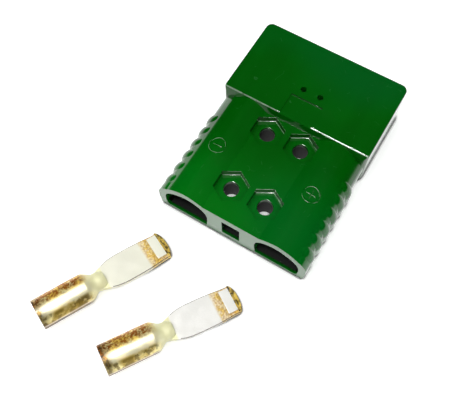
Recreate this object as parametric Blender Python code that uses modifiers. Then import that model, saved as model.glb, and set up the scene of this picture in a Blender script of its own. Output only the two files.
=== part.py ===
"""Two-pole battery power connector: a moulded housing, two crimp contacts and two leaf springs.

The housing lies flat on the floor with its cable end towards -Y and its mating mouth towards +Y.
The two loose contacts lie on the same floor in front of the cable end.
All sizes are in millimetres and are turned into metres by mm().
"""

import math

import bmesh
import bpy
from mathutils import Matrix, Vector

MM = 0.001

# Housing, main sizes
BODY_LENGTH = 128.0
HOOD_LENGTH = 56.2
HOOD_HALF_WIDTH = 48.0
HOOD_HEIGHT = 30.0
HOOD_CORNER_RADIUS = 4.2
HOOD_REAR_CORNER_RADIUS = 3.4
HOOD_EDGE_RADIUS = 1.1
HOOD_REAR_SLOPE_RUN = 1.6
HOOD_REAR_SLOPE_DROP = 4.0
BODY_INTO_HOOD = 4.0

# Rear body section, each size measured from the hood or from the size before it
SIDE_INSET = 0.7
SIDE_TUCK = 2.9
SIDE_WIDEST_HEIGHT = 11.0
SHOULDER_INSET = 4.4
SHOULDER_DROP = 6.6
LOBE_CROWN_X = 28.6
LOBE_DROP = 0.8
PANEL_HALF_WIDTH = 18.0
PANEL_DROP = 4.4
END_BAND_LENGTH = 3.9
END_BAND_STAND_OUT = 1.3

# Bow of the section between its driving points, as shares of the way across and of the way up
FOOT_BOW = (0.35, 0.13)
LOWER_SIDE_BOW = (0.76, 0.45)
UPPER_SIDE_BOW = (0.11, 0.52)
SHOULDER_BOW = (0.39, 0.74)
HAUNCH_BOW = (0.33, 0.56)
BROW_BOW = (0.68, 0.88)
LOBE_INNER_BOW = (0.43, 0.28)
PANEL_FILLET_BOW = (0.77, 0.67)

# Grip ribs on both sides
RIB_COUNT = 6
RIB_PITCH = 9.15
RIB_RADIUS = 6.3
RIB_STAND_OUT = 1.6
RIB_SHOULDER_STAND_OUT = 0.6
RIB_FOOT_LEAN = 1.0
RIB_UPPER_LEAN = 0.7
RIB_TOP_INSET = 6.4
RIB_TOP_RISE = 2.4
RIB_BACK_DEPTH = 3.6
RIB_FOOT_HEIGHT = 0.4
RIB_OVERLAP = 0.3

# Bolt holes and their hexagonal pockets
BOLT_HALF_SPACING = 11.1
BOLT_ROW_NEAR = 19.7
BOLT_ROW_FAR = 61.0
BOLT_HOLE_RADIUS = 4.6
HEX_ACROSS_FLATS = 18.4
HEX_DEPTH = 4.2

# Cable end windows
WINDOW_INNER_X = 16.2
WINDOW_SIDE_WALL = 3.6
WINDOW_FLOOR = 2.2
WINDOW_ROOF = 4.8
WINDOW_INNER_SPRING = 16.6
WINDOW_OUTER_SPRING = 14.0
WINDOW_CORNER = 1.4
WINDOW_DEPTH = 8.0
WINDOW_OUTER_LOW_BOW = (0.17, 0.44)
WINDOW_OUTER_HIGH_BOW = (0.52, 0.79)
WINDOW_INNER_HIGH_BOW = (0.52, 0.2)
WINDOW_INNER_LOW_BOW = (0.87, 0.63)

# Contact chambers and the channel between them
CHAMBER_X = 29.0
CHAMBER_BELOW_MIDDLE = 1.2
CHAMBER_CLEARANCE = 0.75
CHANNEL_MOUTH_HALF_WIDTH = 5.8
CHANNEL_MOUTH_FLOOR = 4.8
CHANNEL_MOUTH_ROOF = 5.6
CHANNEL_MOUTH_DEPTH = 6.0
CHANNEL_STEP = 1.4

# Mating mouth and the shelf inside it
HOOD_SIDE_WALL = 3.8
HOOD_FLOOR_WALL = 3.6
HOOD_ROOF_WALL = 3.6
MOUTH_DEPTH = 46.0
MOUTH_CORNER_RADIUS = 2.4
SHELF_SIDE_GAP = 3.2
SHELF_HEIGHT = 11.2
SHELF_LENGTH = 40.0
SHELF_GROOVE_WIDTH = 18.6
SHELF_GROOVE_DEPTH = 3.2
SHELF_GROOVE_END_WALL = 2.4

# Hood marks: a latch recess at its rear edge and two small round holes
LATCH_HALF_WIDTH = 10.4
LATCH_LENGTH = 16.6
LATCH_DEPTH = 0.9
SMALL_HOLE_HALF_SPACING = 5.6
SMALL_HOLE_FROM_HOOD_REAR = 22.6
SMALL_HOLE_RADIUS = 1.8

# Leaf springs, which lie in the shelf's grooves
SPRING_THICKNESS = 0.8
SPRING_SIDE_GAP = 1.8
SPRING_REAR_GAP = 1.0
SPRING_FRONT_GAP = 1.6
SPRING_SEAT_GAP = 0.3
SPRING_ARCH = 1.9
SPRING_HOOK_HEIGHT = 2.2
SPRING_HOOK_LENGTH = 2.0
SPRING_HOOK_BEND = (0.8, 0.23)

# Crimp contact: barrel, shoulder and neck, one after another along its axis
BARREL_RADIUS = 8.85
BARREL_WALL = 2.0
BARREL_LENGTH = 28.5
BARREL_EDGE_RADIUS = 0.35
BORE_END_WALL = 2.5
BORE_TIP_LENGTH = 2.6
SHOULDER_LENGTH = 6.9
NECK_RADIUS = 5.45
NECK_LENGTH = 5.5
NECK_DOME_LENGTH = 4.2
NECK_DOME_DEPTH = 2.6

# Crimp contact: blade, measured from the end of the neck
BLADE_LENGTH = 38.1
BLADE_ROOT_OVERLAP = 3.4
BLADE_THICKNESS = 3.4
BLADE_TOP_ABOVE_AXIS = 0.9
BLADE_NECK_HALF_WIDTH = 5.2
BLADE_MAX_HALF_WIDTH = 9.1
BLADE_MAX_AT = 17.1
BLADE_TIP_HALF_WIDTH = 8.2
BLADE_TIP_BULGE = 1.9
BLADE_EDGE_RADIUS = 0.3
BLADE_WAIST_BOW = (0.41, -0.03)
BLADE_FLARE_BOW = (0.82, 0.27)
BLADE_TAPER_BOW = (0.3, 0.45)
BLADE_LATE_TAPER_BOW = (0.88, 0.78)
BLADE_TIP_BOW = (0.4, 0.72)

# Crimp contact: boss and lip, measured back from the blade's tip
BOSS_BEHIND_TIP = 2.1
BOSS_TOP_LENGTH = 5.5
BOSS_RAMP_LENGTH = 1.7
BOSS_HALF_WIDTH = 6.8
BOSS_HEIGHT = 2.4
BOSS_FRONT_SLOPE = 1.0
BOSS_SUNK_DEPTH = 0.8
LIP_SIDE_INSET = 0.2
LIP_BACK_LAP = 0.1
LIP_BACK_DROP = 0.35
LIP_FOOT_DEPTH = 2.4
LIP_CREST_BOW = (0.36, 0.96)
LIP_BROW_BOW = (0.73, 0.5)
LIP_NOSE_DROP = 0.6

# Where the loose contacts lie: open barrel end seen from above, and heading from +Y towards +X
RIGHT_CONTACT_X = -20.3
RIGHT_CONTACT_Y = -160.5
RIGHT_CONTACT_HEADING = 31.9
LEFT_CONTACT_X = -64.5
LEFT_CONTACT_Y = -158.5
LEFT_CONTACT_HEADING = 25.3

# Smoothness, cutting allowances and shading
ARC_STEPS = 12
DOME_STEPS = 4
RIB_ARC_STEPS = 8
ROUND_SIDES = 48
HOLE_SIDES = 24
HEX_SIDES = 6
CURVE_RESOLUTION = 5
SPRING_RESOLUTION = 8
HOOD_EDGE_SEGMENTS = 3
BLADE_EDGE_SEGMENTS = 2
CUT_MARGIN = 1.0
WELD_DISTANCE = 0.001
BEVEL_ANGLE = 55.0
SHARP_ANGLE = 32.0

# Places that follow from the sizes above
CABLE_END_Y = -BODY_LENGTH / 2
FRONT_Y = BODY_LENGTH / 2
HOOD_REAR_Y = FRONT_Y - HOOD_LENGTH
SIDE_HALF_WIDTH = HOOD_HALF_WIDTH - SIDE_INSET
LOBE_CROWN_HEIGHT = HOOD_HEIGHT - LOBE_DROP
PANEL_HEIGHT = HOOD_HEIGHT - PANEL_DROP
SHOULDER_X = SIDE_HALF_WIDTH - SHOULDER_INSET
SHOULDER_HEIGHT = LOBE_CROWN_HEIGHT - SHOULDER_DROP
CHAMBER_RADIUS = BARREL_RADIUS + CHAMBER_CLEARANCE
CHAMBER_AXIS_HEIGHT = LOBE_CROWN_HEIGHT / 2 - CHAMBER_BELOW_MIDDLE
MOUTH_BACK_Y = FRONT_Y - MOUTH_DEPTH
MOUTH_HALF_WIDTH = HOOD_HALF_WIDTH - HOOD_SIDE_WALL
MOUTH_TOP = HOOD_HEIGHT - HOOD_ROOF_WALL
GROOVE_FLOOR = SHELF_HEIGHT - SHELF_GROOVE_DEPTH
GROOVE_END_Y = MOUTH_BACK_Y + SHELF_LENGTH - SHELF_GROOVE_END_WALL
SHOULDER_END = BARREL_LENGTH + SHOULDER_LENGTH
NECK_END = SHOULDER_END + NECK_LENGTH
BLADE_TIP_AT = NECK_END + BLADE_LENGTH
BLADE_LOW = BLADE_TOP_ABOVE_AXIS - BLADE_THICKNESS
BOSS_TOP_END = BLADE_TIP_AT - BOSS_BEHIND_TIP
BOSS_TOP_START = BOSS_TOP_END - BOSS_TOP_LENGTH
BOSS_RAMP_START = BOSS_TOP_START - BOSS_RAMP_LENGTH
BOSS_TOP = BLADE_TOP_ABOVE_AXIS + BOSS_HEIGHT

# Exact quarter turns: an outline's own X, Y and depth laid along world X, Z, Y and Y, Z, X
OUTLINE_IN_XZ = Matrix(((1, 0, 0, 0), (0, 0, -1, 0), (0, 1, 0, 0), (0, 0, 0, 1)))
OUTLINE_IN_YZ = Matrix(((0, 0, 1, 0), (1, 0, 0, 0), (0, 1, 0, 0), (0, 0, 0, 1)))

PART_COLLECTION = "battery_connector"
CUTTER_COLLECTION = "battery_connector_cutters"
SIDES = ((1, "right"), (-1, "left"))


def mm(*values):
    """Turn millimetres into metres, as one number or as a tuple."""
    scaled = tuple(value * MM for value in values)
    return scaled[0] if len(scaled) == 1 else scaled


def clear_scene():
    """Remove whatever objects the scene starts with."""
    for existing in list(bpy.data.objects):
        bpy.data.objects.remove(existing, do_unlink=True)


def new_collection(name):
    """Make a collection under the scene's own."""
    collection = bpy.data.collections.new(name)
    bpy.context.scene.collection.children.link(collection)
    return collection


def new_material(name, colour, roughness, metallic):
    """Make a plain Principled material."""
    material = bpy.data.materials.new(name)
    material.use_nodes = True
    shader = material.node_tree.nodes["Principled BSDF"]
    shader.inputs["Base Color"].default_value = (*colour, 1.0)
    shader.inputs["Roughness"].default_value = roughness
    shader.inputs["Metallic"].default_value = metallic
    return material


def object_from_mesh(name, mesh, collection):
    """Put a mesh into a collection as a named object."""
    thing = bpy.data.objects.new(name, mesh)
    collection.objects.link(thing)
    return thing


def as_helper(thing):
    """Mark an object as one that only shapes others."""
    thing.hide_render = True
    thing.display_type = "WIRE"
    return thing


def face_outward(mesh):
    """Weld coincident points and turn every face outward."""
    work = bmesh.new()
    work.from_mesh(mesh)
    bmesh.ops.remove_doubles(work, verts=work.verts, dist=mm(WELD_DISTANCE))
    bmesh.ops.recalc_face_normals(work, faces=work.faces)
    work.to_mesh(mesh)
    work.free()


def box(name, low, high, collection):
    """A box between two corners, in millimetres."""
    work = bmesh.new()
    bmesh.ops.create_cube(work, size=1.0)
    middle = [(a + b) / 2 for a, b in zip(low, high)]
    extent = [b - a for a, b in zip(low, high)]
    for vert in work.verts:
        vert.co = Vector([mm(m + c * e) for m, c, e in zip(middle, vert.co, extent)])
    mesh = bpy.data.meshes.new(name)
    work.to_mesh(mesh)
    work.free()
    return object_from_mesh(name, mesh, collection)


def cylinder(name, radius, start, end, sides, collection):
    """A round or many-sided bar between two points, in millimetres."""
    start = Vector(mm(*start))
    end = Vector(mm(*end))
    along = end - start
    work = bmesh.new()
    bmesh.ops.create_cone(
        work,
        cap_ends=True,
        segments=sides,
        radius1=mm(radius),
        radius2=mm(radius),
        depth=along.length,
    )
    tilt = along.to_track_quat("Z", "Y").to_matrix().to_4x4()
    bmesh.ops.transform(
        work, matrix=Matrix.Translation((start + end) / 2) @ tilt, verts=work.verts
    )
    mesh = bpy.data.meshes.new(name)
    work.to_mesh(mesh)
    work.free()
    return object_from_mesh(name, mesh, collection)


def baked_curve(name, curve_object, collection):
    """Turn a curve object into a welded mesh object that stands where the curve stood."""
    bpy.context.view_layer.update()
    graph = bpy.context.evaluated_depsgraph_get()
    mesh = bpy.data.meshes.new_from_object(curve_object.evaluated_get(graph))
    mesh.transform(curve_object.matrix_world)
    curve = curve_object.data
    bpy.data.objects.remove(curve_object, do_unlink=True)
    bpy.data.curves.remove(curve)
    face_outward(mesh)
    mesh.name = name
    return object_from_mesh(name, mesh, collection)


def flat_curve(name, points, depth, collection, resolution=CURVE_RESOLUTION):
    """A filled closed outline, extruded to both sides of its own plane.

    Each point is (x, y, smooth): smooth points round the outline, others keep a corner.
    """
    curve = bpy.data.curves.new(name, "CURVE")
    curve.dimensions = "2D"
    curve.fill_mode = "BOTH"
    curve.extrude = mm(depth / 2)
    curve.resolution_u = resolution
    spline = curve.splines.new("BEZIER")
    spline.bezier_points.add(len(points) - 1)
    spline.use_cyclic_u = True
    for knot, (x, y, smooth) in zip(spline.bezier_points, points):
        knot.co = (mm(x), mm(y), 0.0)
        kind = "AUTO" if smooth else "VECTOR"
        knot.handle_left_type = kind
        knot.handle_right_type = kind
    thing = bpy.data.objects.new(name, curve)
    collection.objects.link(thing)
    return thing


def part_way(start, end, shares):
    """A smooth outline point part of the way across and part of the way up between two others."""
    across, up = shares
    x = start[0] + (end[0] - start[0]) * across
    y = start[1] + (end[1] - start[1]) * up
    return (x, y, True)


def prism_along_y(name, points, y_start, y_end, collection):
    """Extrude an outline given in X and Z from y_start to y_end."""
    thing = flat_curve(name, points, y_end - y_start, collection)
    thing.matrix_world = Matrix.Translation((0.0, mm((y_start + y_end) / 2), 0.0)) @ OUTLINE_IN_XZ
    return baked_curve(name, thing, collection)


def rounded_rectangle(half_x, low, high, radius):
    """Outline of a rectangle with quarter-round corners, as straight points."""
    corners = (
        (half_x - radius, high - radius, 0),
        (-half_x + radius, high - radius, 1),
        (-half_x + radius, low + radius, 2),
        (half_x - radius, low + radius, 3),
    )
    steps = ARC_STEPS // 2
    outline = []
    for centre_x, centre_y, quarter in corners:
        for step in range(steps + 1):
            angle = math.radians(90.0 * (quarter + step / steps))
            outline.append(
                (centre_x + radius * math.cos(angle), centre_y + radius * math.sin(angle), False)
            )
    return outline


def body_outline():
    """Cross-section of the rear body: two lobes with a sunk panel between them."""
    foot = (SIDE_HALF_WIDTH - SIDE_TUCK, 0.0)
    widest = (SIDE_HALF_WIDTH, SIDE_WIDEST_HEIGHT)
    shoulder = (SHOULDER_X, SHOULDER_HEIGHT)
    crown = (LOBE_CROWN_X, LOBE_CROWN_HEIGHT)
    panel = (PANEL_HALF_WIDTH, PANEL_HEIGHT)
    right = [
        (*foot, False),
        part_way(foot, widest, FOOT_BOW),
        part_way(foot, widest, LOWER_SIDE_BOW),
        (*widest, True),
        part_way(widest, shoulder, UPPER_SIDE_BOW),
        part_way(widest, shoulder, SHOULDER_BOW),
        (*shoulder, True),
        part_way(shoulder, crown, HAUNCH_BOW),
        part_way(shoulder, crown, BROW_BOW),
        (*crown, True),
        part_way(crown, panel, LOBE_INNER_BOW),
        part_way(crown, panel, PANEL_FILLET_BOW),
        (*panel, False),
    ]
    left = [(-x, z, smooth) for x, z, smooth in reversed(right)]
    return right + left


def window_outline(side):
    """Arched outline of a cable window; side is 1 for +X and -1 for -X."""
    outer_x = SIDE_HALF_WIDTH - WINDOW_SIDE_WALL
    outer = (outer_x, WINDOW_OUTER_SPRING)
    crown = (LOBE_CROWN_X, LOBE_CROWN_HEIGHT - WINDOW_ROOF)
    inner = (WINDOW_INNER_X, WINDOW_INNER_SPRING)
    points = [
        (WINDOW_INNER_X, WINDOW_FLOOR, False),
        (outer_x - WINDOW_CORNER, WINDOW_FLOOR, False),
        (outer_x, WINDOW_FLOOR + WINDOW_CORNER, False),
        (*outer, True),
        part_way(outer, crown, WINDOW_OUTER_LOW_BOW),
        part_way(outer, crown, WINDOW_OUTER_HIGH_BOW),
        (*crown, True),
        part_way(crown, inner, WINDOW_INNER_HIGH_BOW),
        part_way(crown, inner, WINDOW_INNER_LOW_BOW),
        (*inner, True),
    ]
    outline = [(side * x, z, smooth) for x, z, smooth in points]
    return outline if side > 0 else list(reversed(outline))


def rib_section_points():
    """One rib in section: a shallow arc outside and a flat back inside the wall.

    Each point is (out, along): out is zero on the rib's crest, along runs along the body.
    """
    half = RIB_PITCH / 2 + RIB_OVERLAP
    points = []
    for step in range(RIB_ARC_STEPS + 1):
        along = half * (2.0 * step / RIB_ARC_STEPS - 1.0)
        points.append((math.sqrt(RIB_RADIUS**2 - along**2) - RIB_RADIUS, along))
    points.append((-RIB_BACK_DEPTH, half))
    points.append((-RIB_BACK_DEPTH, -half))
    return points


def band_section_points():
    """The plain band at the cable end in section, as far from its centre as a rib's."""
    half = END_BAND_LENGTH / 2
    out = END_BAND_STAND_OUT - RIB_STAND_OUT
    return [
        (out, -half - CUT_MARGIN),
        (out, half),
        (-RIB_BACK_DEPTH, half),
        (-RIB_BACK_DEPTH, -half - CUT_MARGIN),
    ]


def side_sweep(name, section_points, collection):
    """Sweep a section up the +X side wall and over the shoulder, centred on Y = 0."""
    section_curve = bpy.data.curves.new(name + "_section", "CURVE")
    section_curve.dimensions = "2D"
    section_curve.fill_mode = "NONE"
    spline = section_curve.splines.new("POLY")
    spline.points.add(len(section_points) - 1)
    spline.use_cyclic_u = True
    for knot, (out, along) in zip(spline.points, section_points):
        knot.co = (mm(out), mm(along), 0.0, 1.0)
    section = bpy.data.objects.new(name + "_section", section_curve)
    collection.objects.link(section)

    crest_x = SIDE_HALF_WIDTH + RIB_STAND_OUT
    lean = RIB_SHOULDER_STAND_OUT * math.sqrt(0.5)
    path = (
        (crest_x - RIB_FOOT_LEAN, RIB_FOOT_HEIGHT),
        (crest_x, SIDE_WIDEST_HEIGHT),
        (crest_x - RIB_UPPER_LEAN, (SIDE_WIDEST_HEIGHT + SHOULDER_HEIGHT) / 2),
        (SHOULDER_X + lean, SHOULDER_HEIGHT + lean),
        (SHOULDER_X - RIB_TOP_INSET, SHOULDER_HEIGHT + RIB_TOP_RISE),
    )
    curve = bpy.data.curves.new(name, "CURVE")
    curve.dimensions = "2D"
    curve.fill_mode = "NONE"
    curve.bevel_mode = "OBJECT"
    curve.bevel_object = section
    curve.use_fill_caps = True
    curve.resolution_u = CURVE_RESOLUTION
    spline = curve.splines.new("BEZIER")
    spline.bezier_points.add(len(path) - 1)
    for knot, (x, z) in zip(spline.bezier_points, path):
        knot.co = (mm(x), mm(z), 0.0)
        knot.handle_left_type = "AUTO"
        knot.handle_right_type = "AUTO"
    sweep = bpy.data.objects.new(name, curve)
    sweep.matrix_world = OUTLINE_IN_XZ
    collection.objects.link(sweep)
    sweep = baked_curve(name, sweep, collection)
    bpy.data.objects.remove(section, do_unlink=True)
    return sweep


def both_sides(name, sweep, y_places, collection):
    """Copies of a side sweep at the given places along the body, on both sides."""
    work = bmesh.new()
    for place_y in y_places:
        for side, _ in SIDES:
            copy = sweep.data.copy()
            mirror = Matrix.Diagonal((side, 1.0, 1.0, 1.0))
            copy.transform(Matrix.Translation((0.0, mm(place_y), 0.0)) @ mirror)
            work.from_mesh(copy)
            bpy.data.meshes.remove(copy)
    bmesh.ops.recalc_face_normals(work, faces=work.faces)
    mesh = bpy.data.meshes.new(name)
    work.to_mesh(mesh)
    work.free()
    return as_helper(object_from_mesh(name, mesh, collection))


def apply_boolean(target, other, operation):
    """Add an exact Boolean of another object to the target."""
    step = target.modifiers.new(other.name, "BOOLEAN")
    step.operation = operation
    step.solver = "EXACT"
    step.object = other
    return step


def soften_edges(target, radius, segments):
    """Round the target's sharp edges."""
    soft = target.modifiers.new("soft_edges", "BEVEL")
    soft.width = mm(radius)
    soft.segments = segments
    soft.limit_method = "ANGLE"
    soft.angle_limit = math.radians(BEVEL_ANGLE)
    return soft


def hood_block(collection):
    """The raised hood: rounded upright corners, a sloped rear edge and softened edges."""
    half_length = HOOD_LENGTH / 2
    front = rounded_rectangle(HOOD_HALF_WIDTH, -half_length, half_length, HOOD_CORNER_RADIUS)
    rear = rounded_rectangle(HOOD_HALF_WIDTH, -half_length, half_length, HOOD_REAR_CORNER_RADIUS)
    outline = [point for point in front if point[1] > 0.0]
    outline += [point for point in rear if point[1] < 0.0]
    thing = flat_curve("hood_block", outline, HOOD_HEIGHT, collection)
    thing.location = mm(0.0, FRONT_Y - half_length, HOOD_HEIGHT / 2)
    hood = as_helper(baked_curve("hood_block", thing, collection))
    soften_edges(hood, HOOD_EDGE_RADIUS, HOOD_EDGE_SEGMENTS)
    slope_outline = [
        (HOOD_REAR_Y - CUT_MARGIN, HOOD_HEIGHT - HOOD_REAR_SLOPE_DROP, False),
        (HOOD_REAR_Y, HOOD_HEIGHT - HOOD_REAR_SLOPE_DROP, False),
        (HOOD_REAR_Y + HOOD_REAR_SLOPE_RUN, HOOD_HEIGHT, False),
        (HOOD_REAR_Y + HOOD_REAR_SLOPE_RUN, HOOD_HEIGHT + CUT_MARGIN, False),
        (HOOD_REAR_Y - CUT_MARGIN, HOOD_HEIGHT + CUT_MARGIN, False),
    ]
    slope = flat_curve("hood_slope", slope_outline, (HOOD_HALF_WIDTH + CUT_MARGIN) * 2, collection)
    slope.matrix_world = OUTLINE_IN_YZ
    apply_boolean(hood, as_helper(baked_curve("hood_slope", slope, collection)), "DIFFERENCE")
    return hood


def housing_additions(helpers):
    """Everything that is joined to the plain body."""
    rib = side_sweep("rib", rib_section_points(), helpers)
    band = side_sweep("band", band_section_points(), helpers)
    first = CABLE_END_Y + END_BAND_LENGTH + RIB_PITCH / 2
    places = [first + RIB_PITCH * index for index in range(RIB_COUNT)]
    additions = [
        both_sides("end_band", band, [CABLE_END_Y + END_BAND_LENGTH / 2], helpers),
        both_sides("ribs_even", rib, places[0::2], helpers),
        both_sides("ribs_odd", rib, places[1::2], helpers),
        hood_block(helpers),
    ]
    for model in (rib, band):
        bpy.data.objects.remove(model, do_unlink=True)
    return additions


def end_cutters(helpers):
    """Windows, chambers and the centre channel, all running along Y."""
    start = CABLE_END_Y - CUT_MARGIN
    window_end = CABLE_END_Y + WINDOW_DEPTH
    inside = MOUTH_BACK_Y + CUT_MARGIN
    cutters = []
    for side, word in SIDES:
        cutters.append(
            prism_along_y("window_" + word, window_outline(side), start, window_end, helpers)
        )
        cutters.append(
            cylinder(
                "chamber_" + word,
                CHAMBER_RADIUS,
                (side * CHAMBER_X, window_end - CUT_MARGIN, CHAMBER_AXIS_HEIGHT),
                (side * CHAMBER_X, inside, CHAMBER_AXIS_HEIGHT),
                ROUND_SIDES,
                helpers,
            )
        )
    mouth_half = CHANNEL_MOUTH_HALF_WIDTH
    mouth_low = CHANNEL_MOUTH_FLOOR
    mouth_high = PANEL_HEIGHT - CHANNEL_MOUTH_ROOF
    mouth_end = CABLE_END_Y + CHANNEL_MOUTH_DEPTH
    step = CHANNEL_STEP
    cutters.append(
        box(
            "channel_mouth",
            (-mouth_half, start, mouth_low),
            (mouth_half, mouth_end, mouth_high),
            helpers,
        )
    )
    cutters.append(
        box(
            "channel",
            (-mouth_half + step, mouth_end - CUT_MARGIN, mouth_low + step),
            (mouth_half - step, inside, mouth_high - step),
            helpers,
        )
    )
    return cutters


def upright_cutter(name, radius, x, y, low, high, sides, helpers):
    """A round or many-sided bar standing at (x, y) from low to high."""
    return cylinder(name, radius, (x, y, low), (x, y, high), sides, helpers)


def top_cutters(helpers):
    """Bolt holes with a hexagonal pocket at each end, and the marks on the hood.

    The pockets in the underside let the bolts go in from either side.
    """
    cutters = []
    hex_radius = HEX_ACROSS_FLATS / math.sqrt(3.0)
    pocket_floor = PANEL_HEIGHT - HEX_DEPTH
    above_panel = PANEL_HEIGHT + CUT_MARGIN
    above_hood = HOOD_HEIGHT + CUT_MARGIN
    inside_mouth = MOUTH_TOP - CUT_MARGIN
    hole_y = HOOD_REAR_Y + SMALL_HOLE_FROM_HOOD_REAR
    for side, word in SIDES:
        for row, row_word in ((BOLT_ROW_NEAR, "near"), (BOLT_ROW_FAR, "far")):
            x = side * BOLT_HALF_SPACING
            y = CABLE_END_Y + row
            tag = row_word + "_" + word
            cutters.append(
                upright_cutter(
                    "bolt_hole_" + tag,
                    BOLT_HOLE_RADIUS,
                    x,
                    y,
                    -CUT_MARGIN,
                    above_panel,
                    HOLE_SIDES,
                    helpers,
                )
            )
            for level, low, high in (
                ("upper", pocket_floor, above_panel),
                ("lower", -CUT_MARGIN, HEX_DEPTH),
            ):
                cutters.append(
                    upright_cutter(
                        "hex_pocket_" + level + "_" + tag,
                        hex_radius,
                        x,
                        y,
                        low,
                        high,
                        HEX_SIDES,
                        helpers,
                    )
                )
        cutters.append(
            upright_cutter(
                "small_hole_" + word,
                SMALL_HOLE_RADIUS,
                side * SMALL_HOLE_HALF_SPACING,
                hole_y,
                inside_mouth,
                above_hood,
                HOLE_SIDES,
                helpers,
            )
        )
    cutters.append(
        box(
            "latch_recess",
            (-LATCH_HALF_WIDTH, HOOD_REAR_Y - CUT_MARGIN, HOOD_HEIGHT - LATCH_DEPTH),
            (LATCH_HALF_WIDTH, HOOD_REAR_Y + LATCH_LENGTH, above_hood),
            helpers,
        )
    )
    return cutters


def mouth_cutter(helpers):
    """The mating mouth: an open box that leaves the shelf standing on its floor."""
    mouth = prism_along_y(
        "mouth",
        rounded_rectangle(MOUTH_HALF_WIDTH, HOOD_FLOOR_WALL, MOUTH_TOP, MOUTH_CORNER_RADIUS),
        MOUTH_BACK_Y,
        FRONT_Y + CUT_MARGIN,
        helpers,
    )
    shelf_half = MOUTH_HALF_WIDTH - SHELF_SIDE_GAP
    shelf = box(
        "shelf",
        (-shelf_half, MOUTH_BACK_Y - CUT_MARGIN, HOOD_FLOOR_WALL - CUT_MARGIN),
        (shelf_half, MOUTH_BACK_Y + SHELF_LENGTH, SHELF_HEIGHT),
        helpers,
    )
    apply_boolean(mouth, as_helper(shelf), "DIFFERENCE")
    half = SHELF_GROOVE_WIDTH / 2
    grooves = [
        box(
            "spring_groove_" + word,
            (side * CHAMBER_X - half, MOUTH_BACK_Y - CUT_MARGIN, GROOVE_FLOOR),
            (side * CHAMBER_X + half, GROOVE_END_Y, SHELF_HEIGHT + CUT_MARGIN),
            helpers,
        )
        for side, word in SIDES
    ]
    return [mouth] + grooves


def build_housing(parts, helpers, material):
    """One moulding: body, end band, ribs and hood, with every opening cut out."""
    housing = prism_along_y(
        "housing",
        body_outline(),
        CABLE_END_Y - CUT_MARGIN / 2,
        HOOD_REAR_Y + BODY_INTO_HOOD,
        parts,
    )
    for addition in housing_additions(helpers):
        apply_boolean(housing, addition, "UNION")
    trim = box(
        "end_trim",
        (-HOOD_HALF_WIDTH * 2, CABLE_END_Y - CUT_MARGIN * 4, -HOOD_HEIGHT),
        (HOOD_HALF_WIDTH * 2, CABLE_END_Y, HOOD_HEIGHT * 2),
        helpers,
    )
    cutters = [trim] + end_cutters(helpers) + mouth_cutter(helpers) + top_cutters(helpers)
    for cutter in cutters:
        apply_boolean(housing, as_helper(cutter), "DIFFERENCE")
    housing.data.materials.append(material)
    return housing


def build_spring(name, side, parts, material):
    """A bowed leaf spring that lies in its groove, with a small hook at the front."""
    start = MOUTH_BACK_Y + SPRING_REAR_GAP
    end = GROOVE_END_Y - SPRING_FRONT_GAP
    base = GROOVE_FLOOR + SPRING_SEAT_GAP
    hook_start = (end - SPRING_HOOK_LENGTH, base)
    hook_tip = (end, base + SPRING_HOOK_HEIGHT)
    lower = [
        (start, base, True),
        ((start + end) / 2, base + SPRING_ARCH, True),
        (*hook_start, True),
        part_way(hook_start, hook_tip, SPRING_HOOK_BEND),
        (*hook_tip, True),
    ]
    upper = []
    for index, (y, z, smooth) in enumerate(lower):
        before = lower[max(index - 1, 0)]
        after = lower[min(index + 1, len(lower) - 1)]
        along = Vector((after[0] - before[0], after[1] - before[1])).normalized()
        upper.append((y - along.y * SPRING_THICKNESS, z + along.x * SPRING_THICKNESS, smooth))
    outline = lower + list(reversed(upper))
    ends = (0, len(lower) - 1, len(lower), len(outline) - 1)
    outline = [(y, z, smooth and index not in ends) for index, (y, z, smooth) in enumerate(outline)]
    width = SHELF_GROOVE_WIDTH - SPRING_SIDE_GAP * 2
    thing = flat_curve(name, outline, width, parts, SPRING_RESOLUTION)
    thing.matrix_world = Matrix.Translation(mm(side * CHAMBER_X, 0.0, 0.0)) @ OUTLINE_IN_YZ
    spring = baked_curve(name, thing, parts)
    spring.data.materials.append(material)
    return spring


def barrel_profile():
    """Half profile of the barrel, shoulder and neck: (radius, distance along the axis)."""
    edge = BARREL_EDGE_RADIUS
    bore_radius = BARREL_RADIUS - BARREL_WALL
    bore_end = BARREL_LENGTH - BORE_END_WALL
    points = [(0.0, NECK_END)]
    for step in range(DOME_STEPS + 1):
        angle = math.radians(90.0 * step / DOME_STEPS)
        radius = NECK_RADIUS - NECK_DOME_DEPTH * (1.0 - math.sin(angle))
        points.append((radius, NECK_END - NECK_DOME_LENGTH * (1.0 - math.cos(angle))))
    for step in range(ARC_STEPS + 1):
        share = step / ARC_STEPS
        blend = 0.5 - 0.5 * math.cos(math.pi * share)
        radius = NECK_RADIUS + (BARREL_RADIUS - NECK_RADIUS) * blend
        points.append((radius, SHOULDER_END - SHOULDER_LENGTH * share))
    points += [
        (BARREL_RADIUS, edge),
        (BARREL_RADIUS - edge, 0.0),
        (bore_radius + edge, 0.0),
        (bore_radius, edge),
        (bore_radius, bore_end),
        (0.0, bore_end + BORE_TIP_LENGTH),
    ]
    return points


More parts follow.
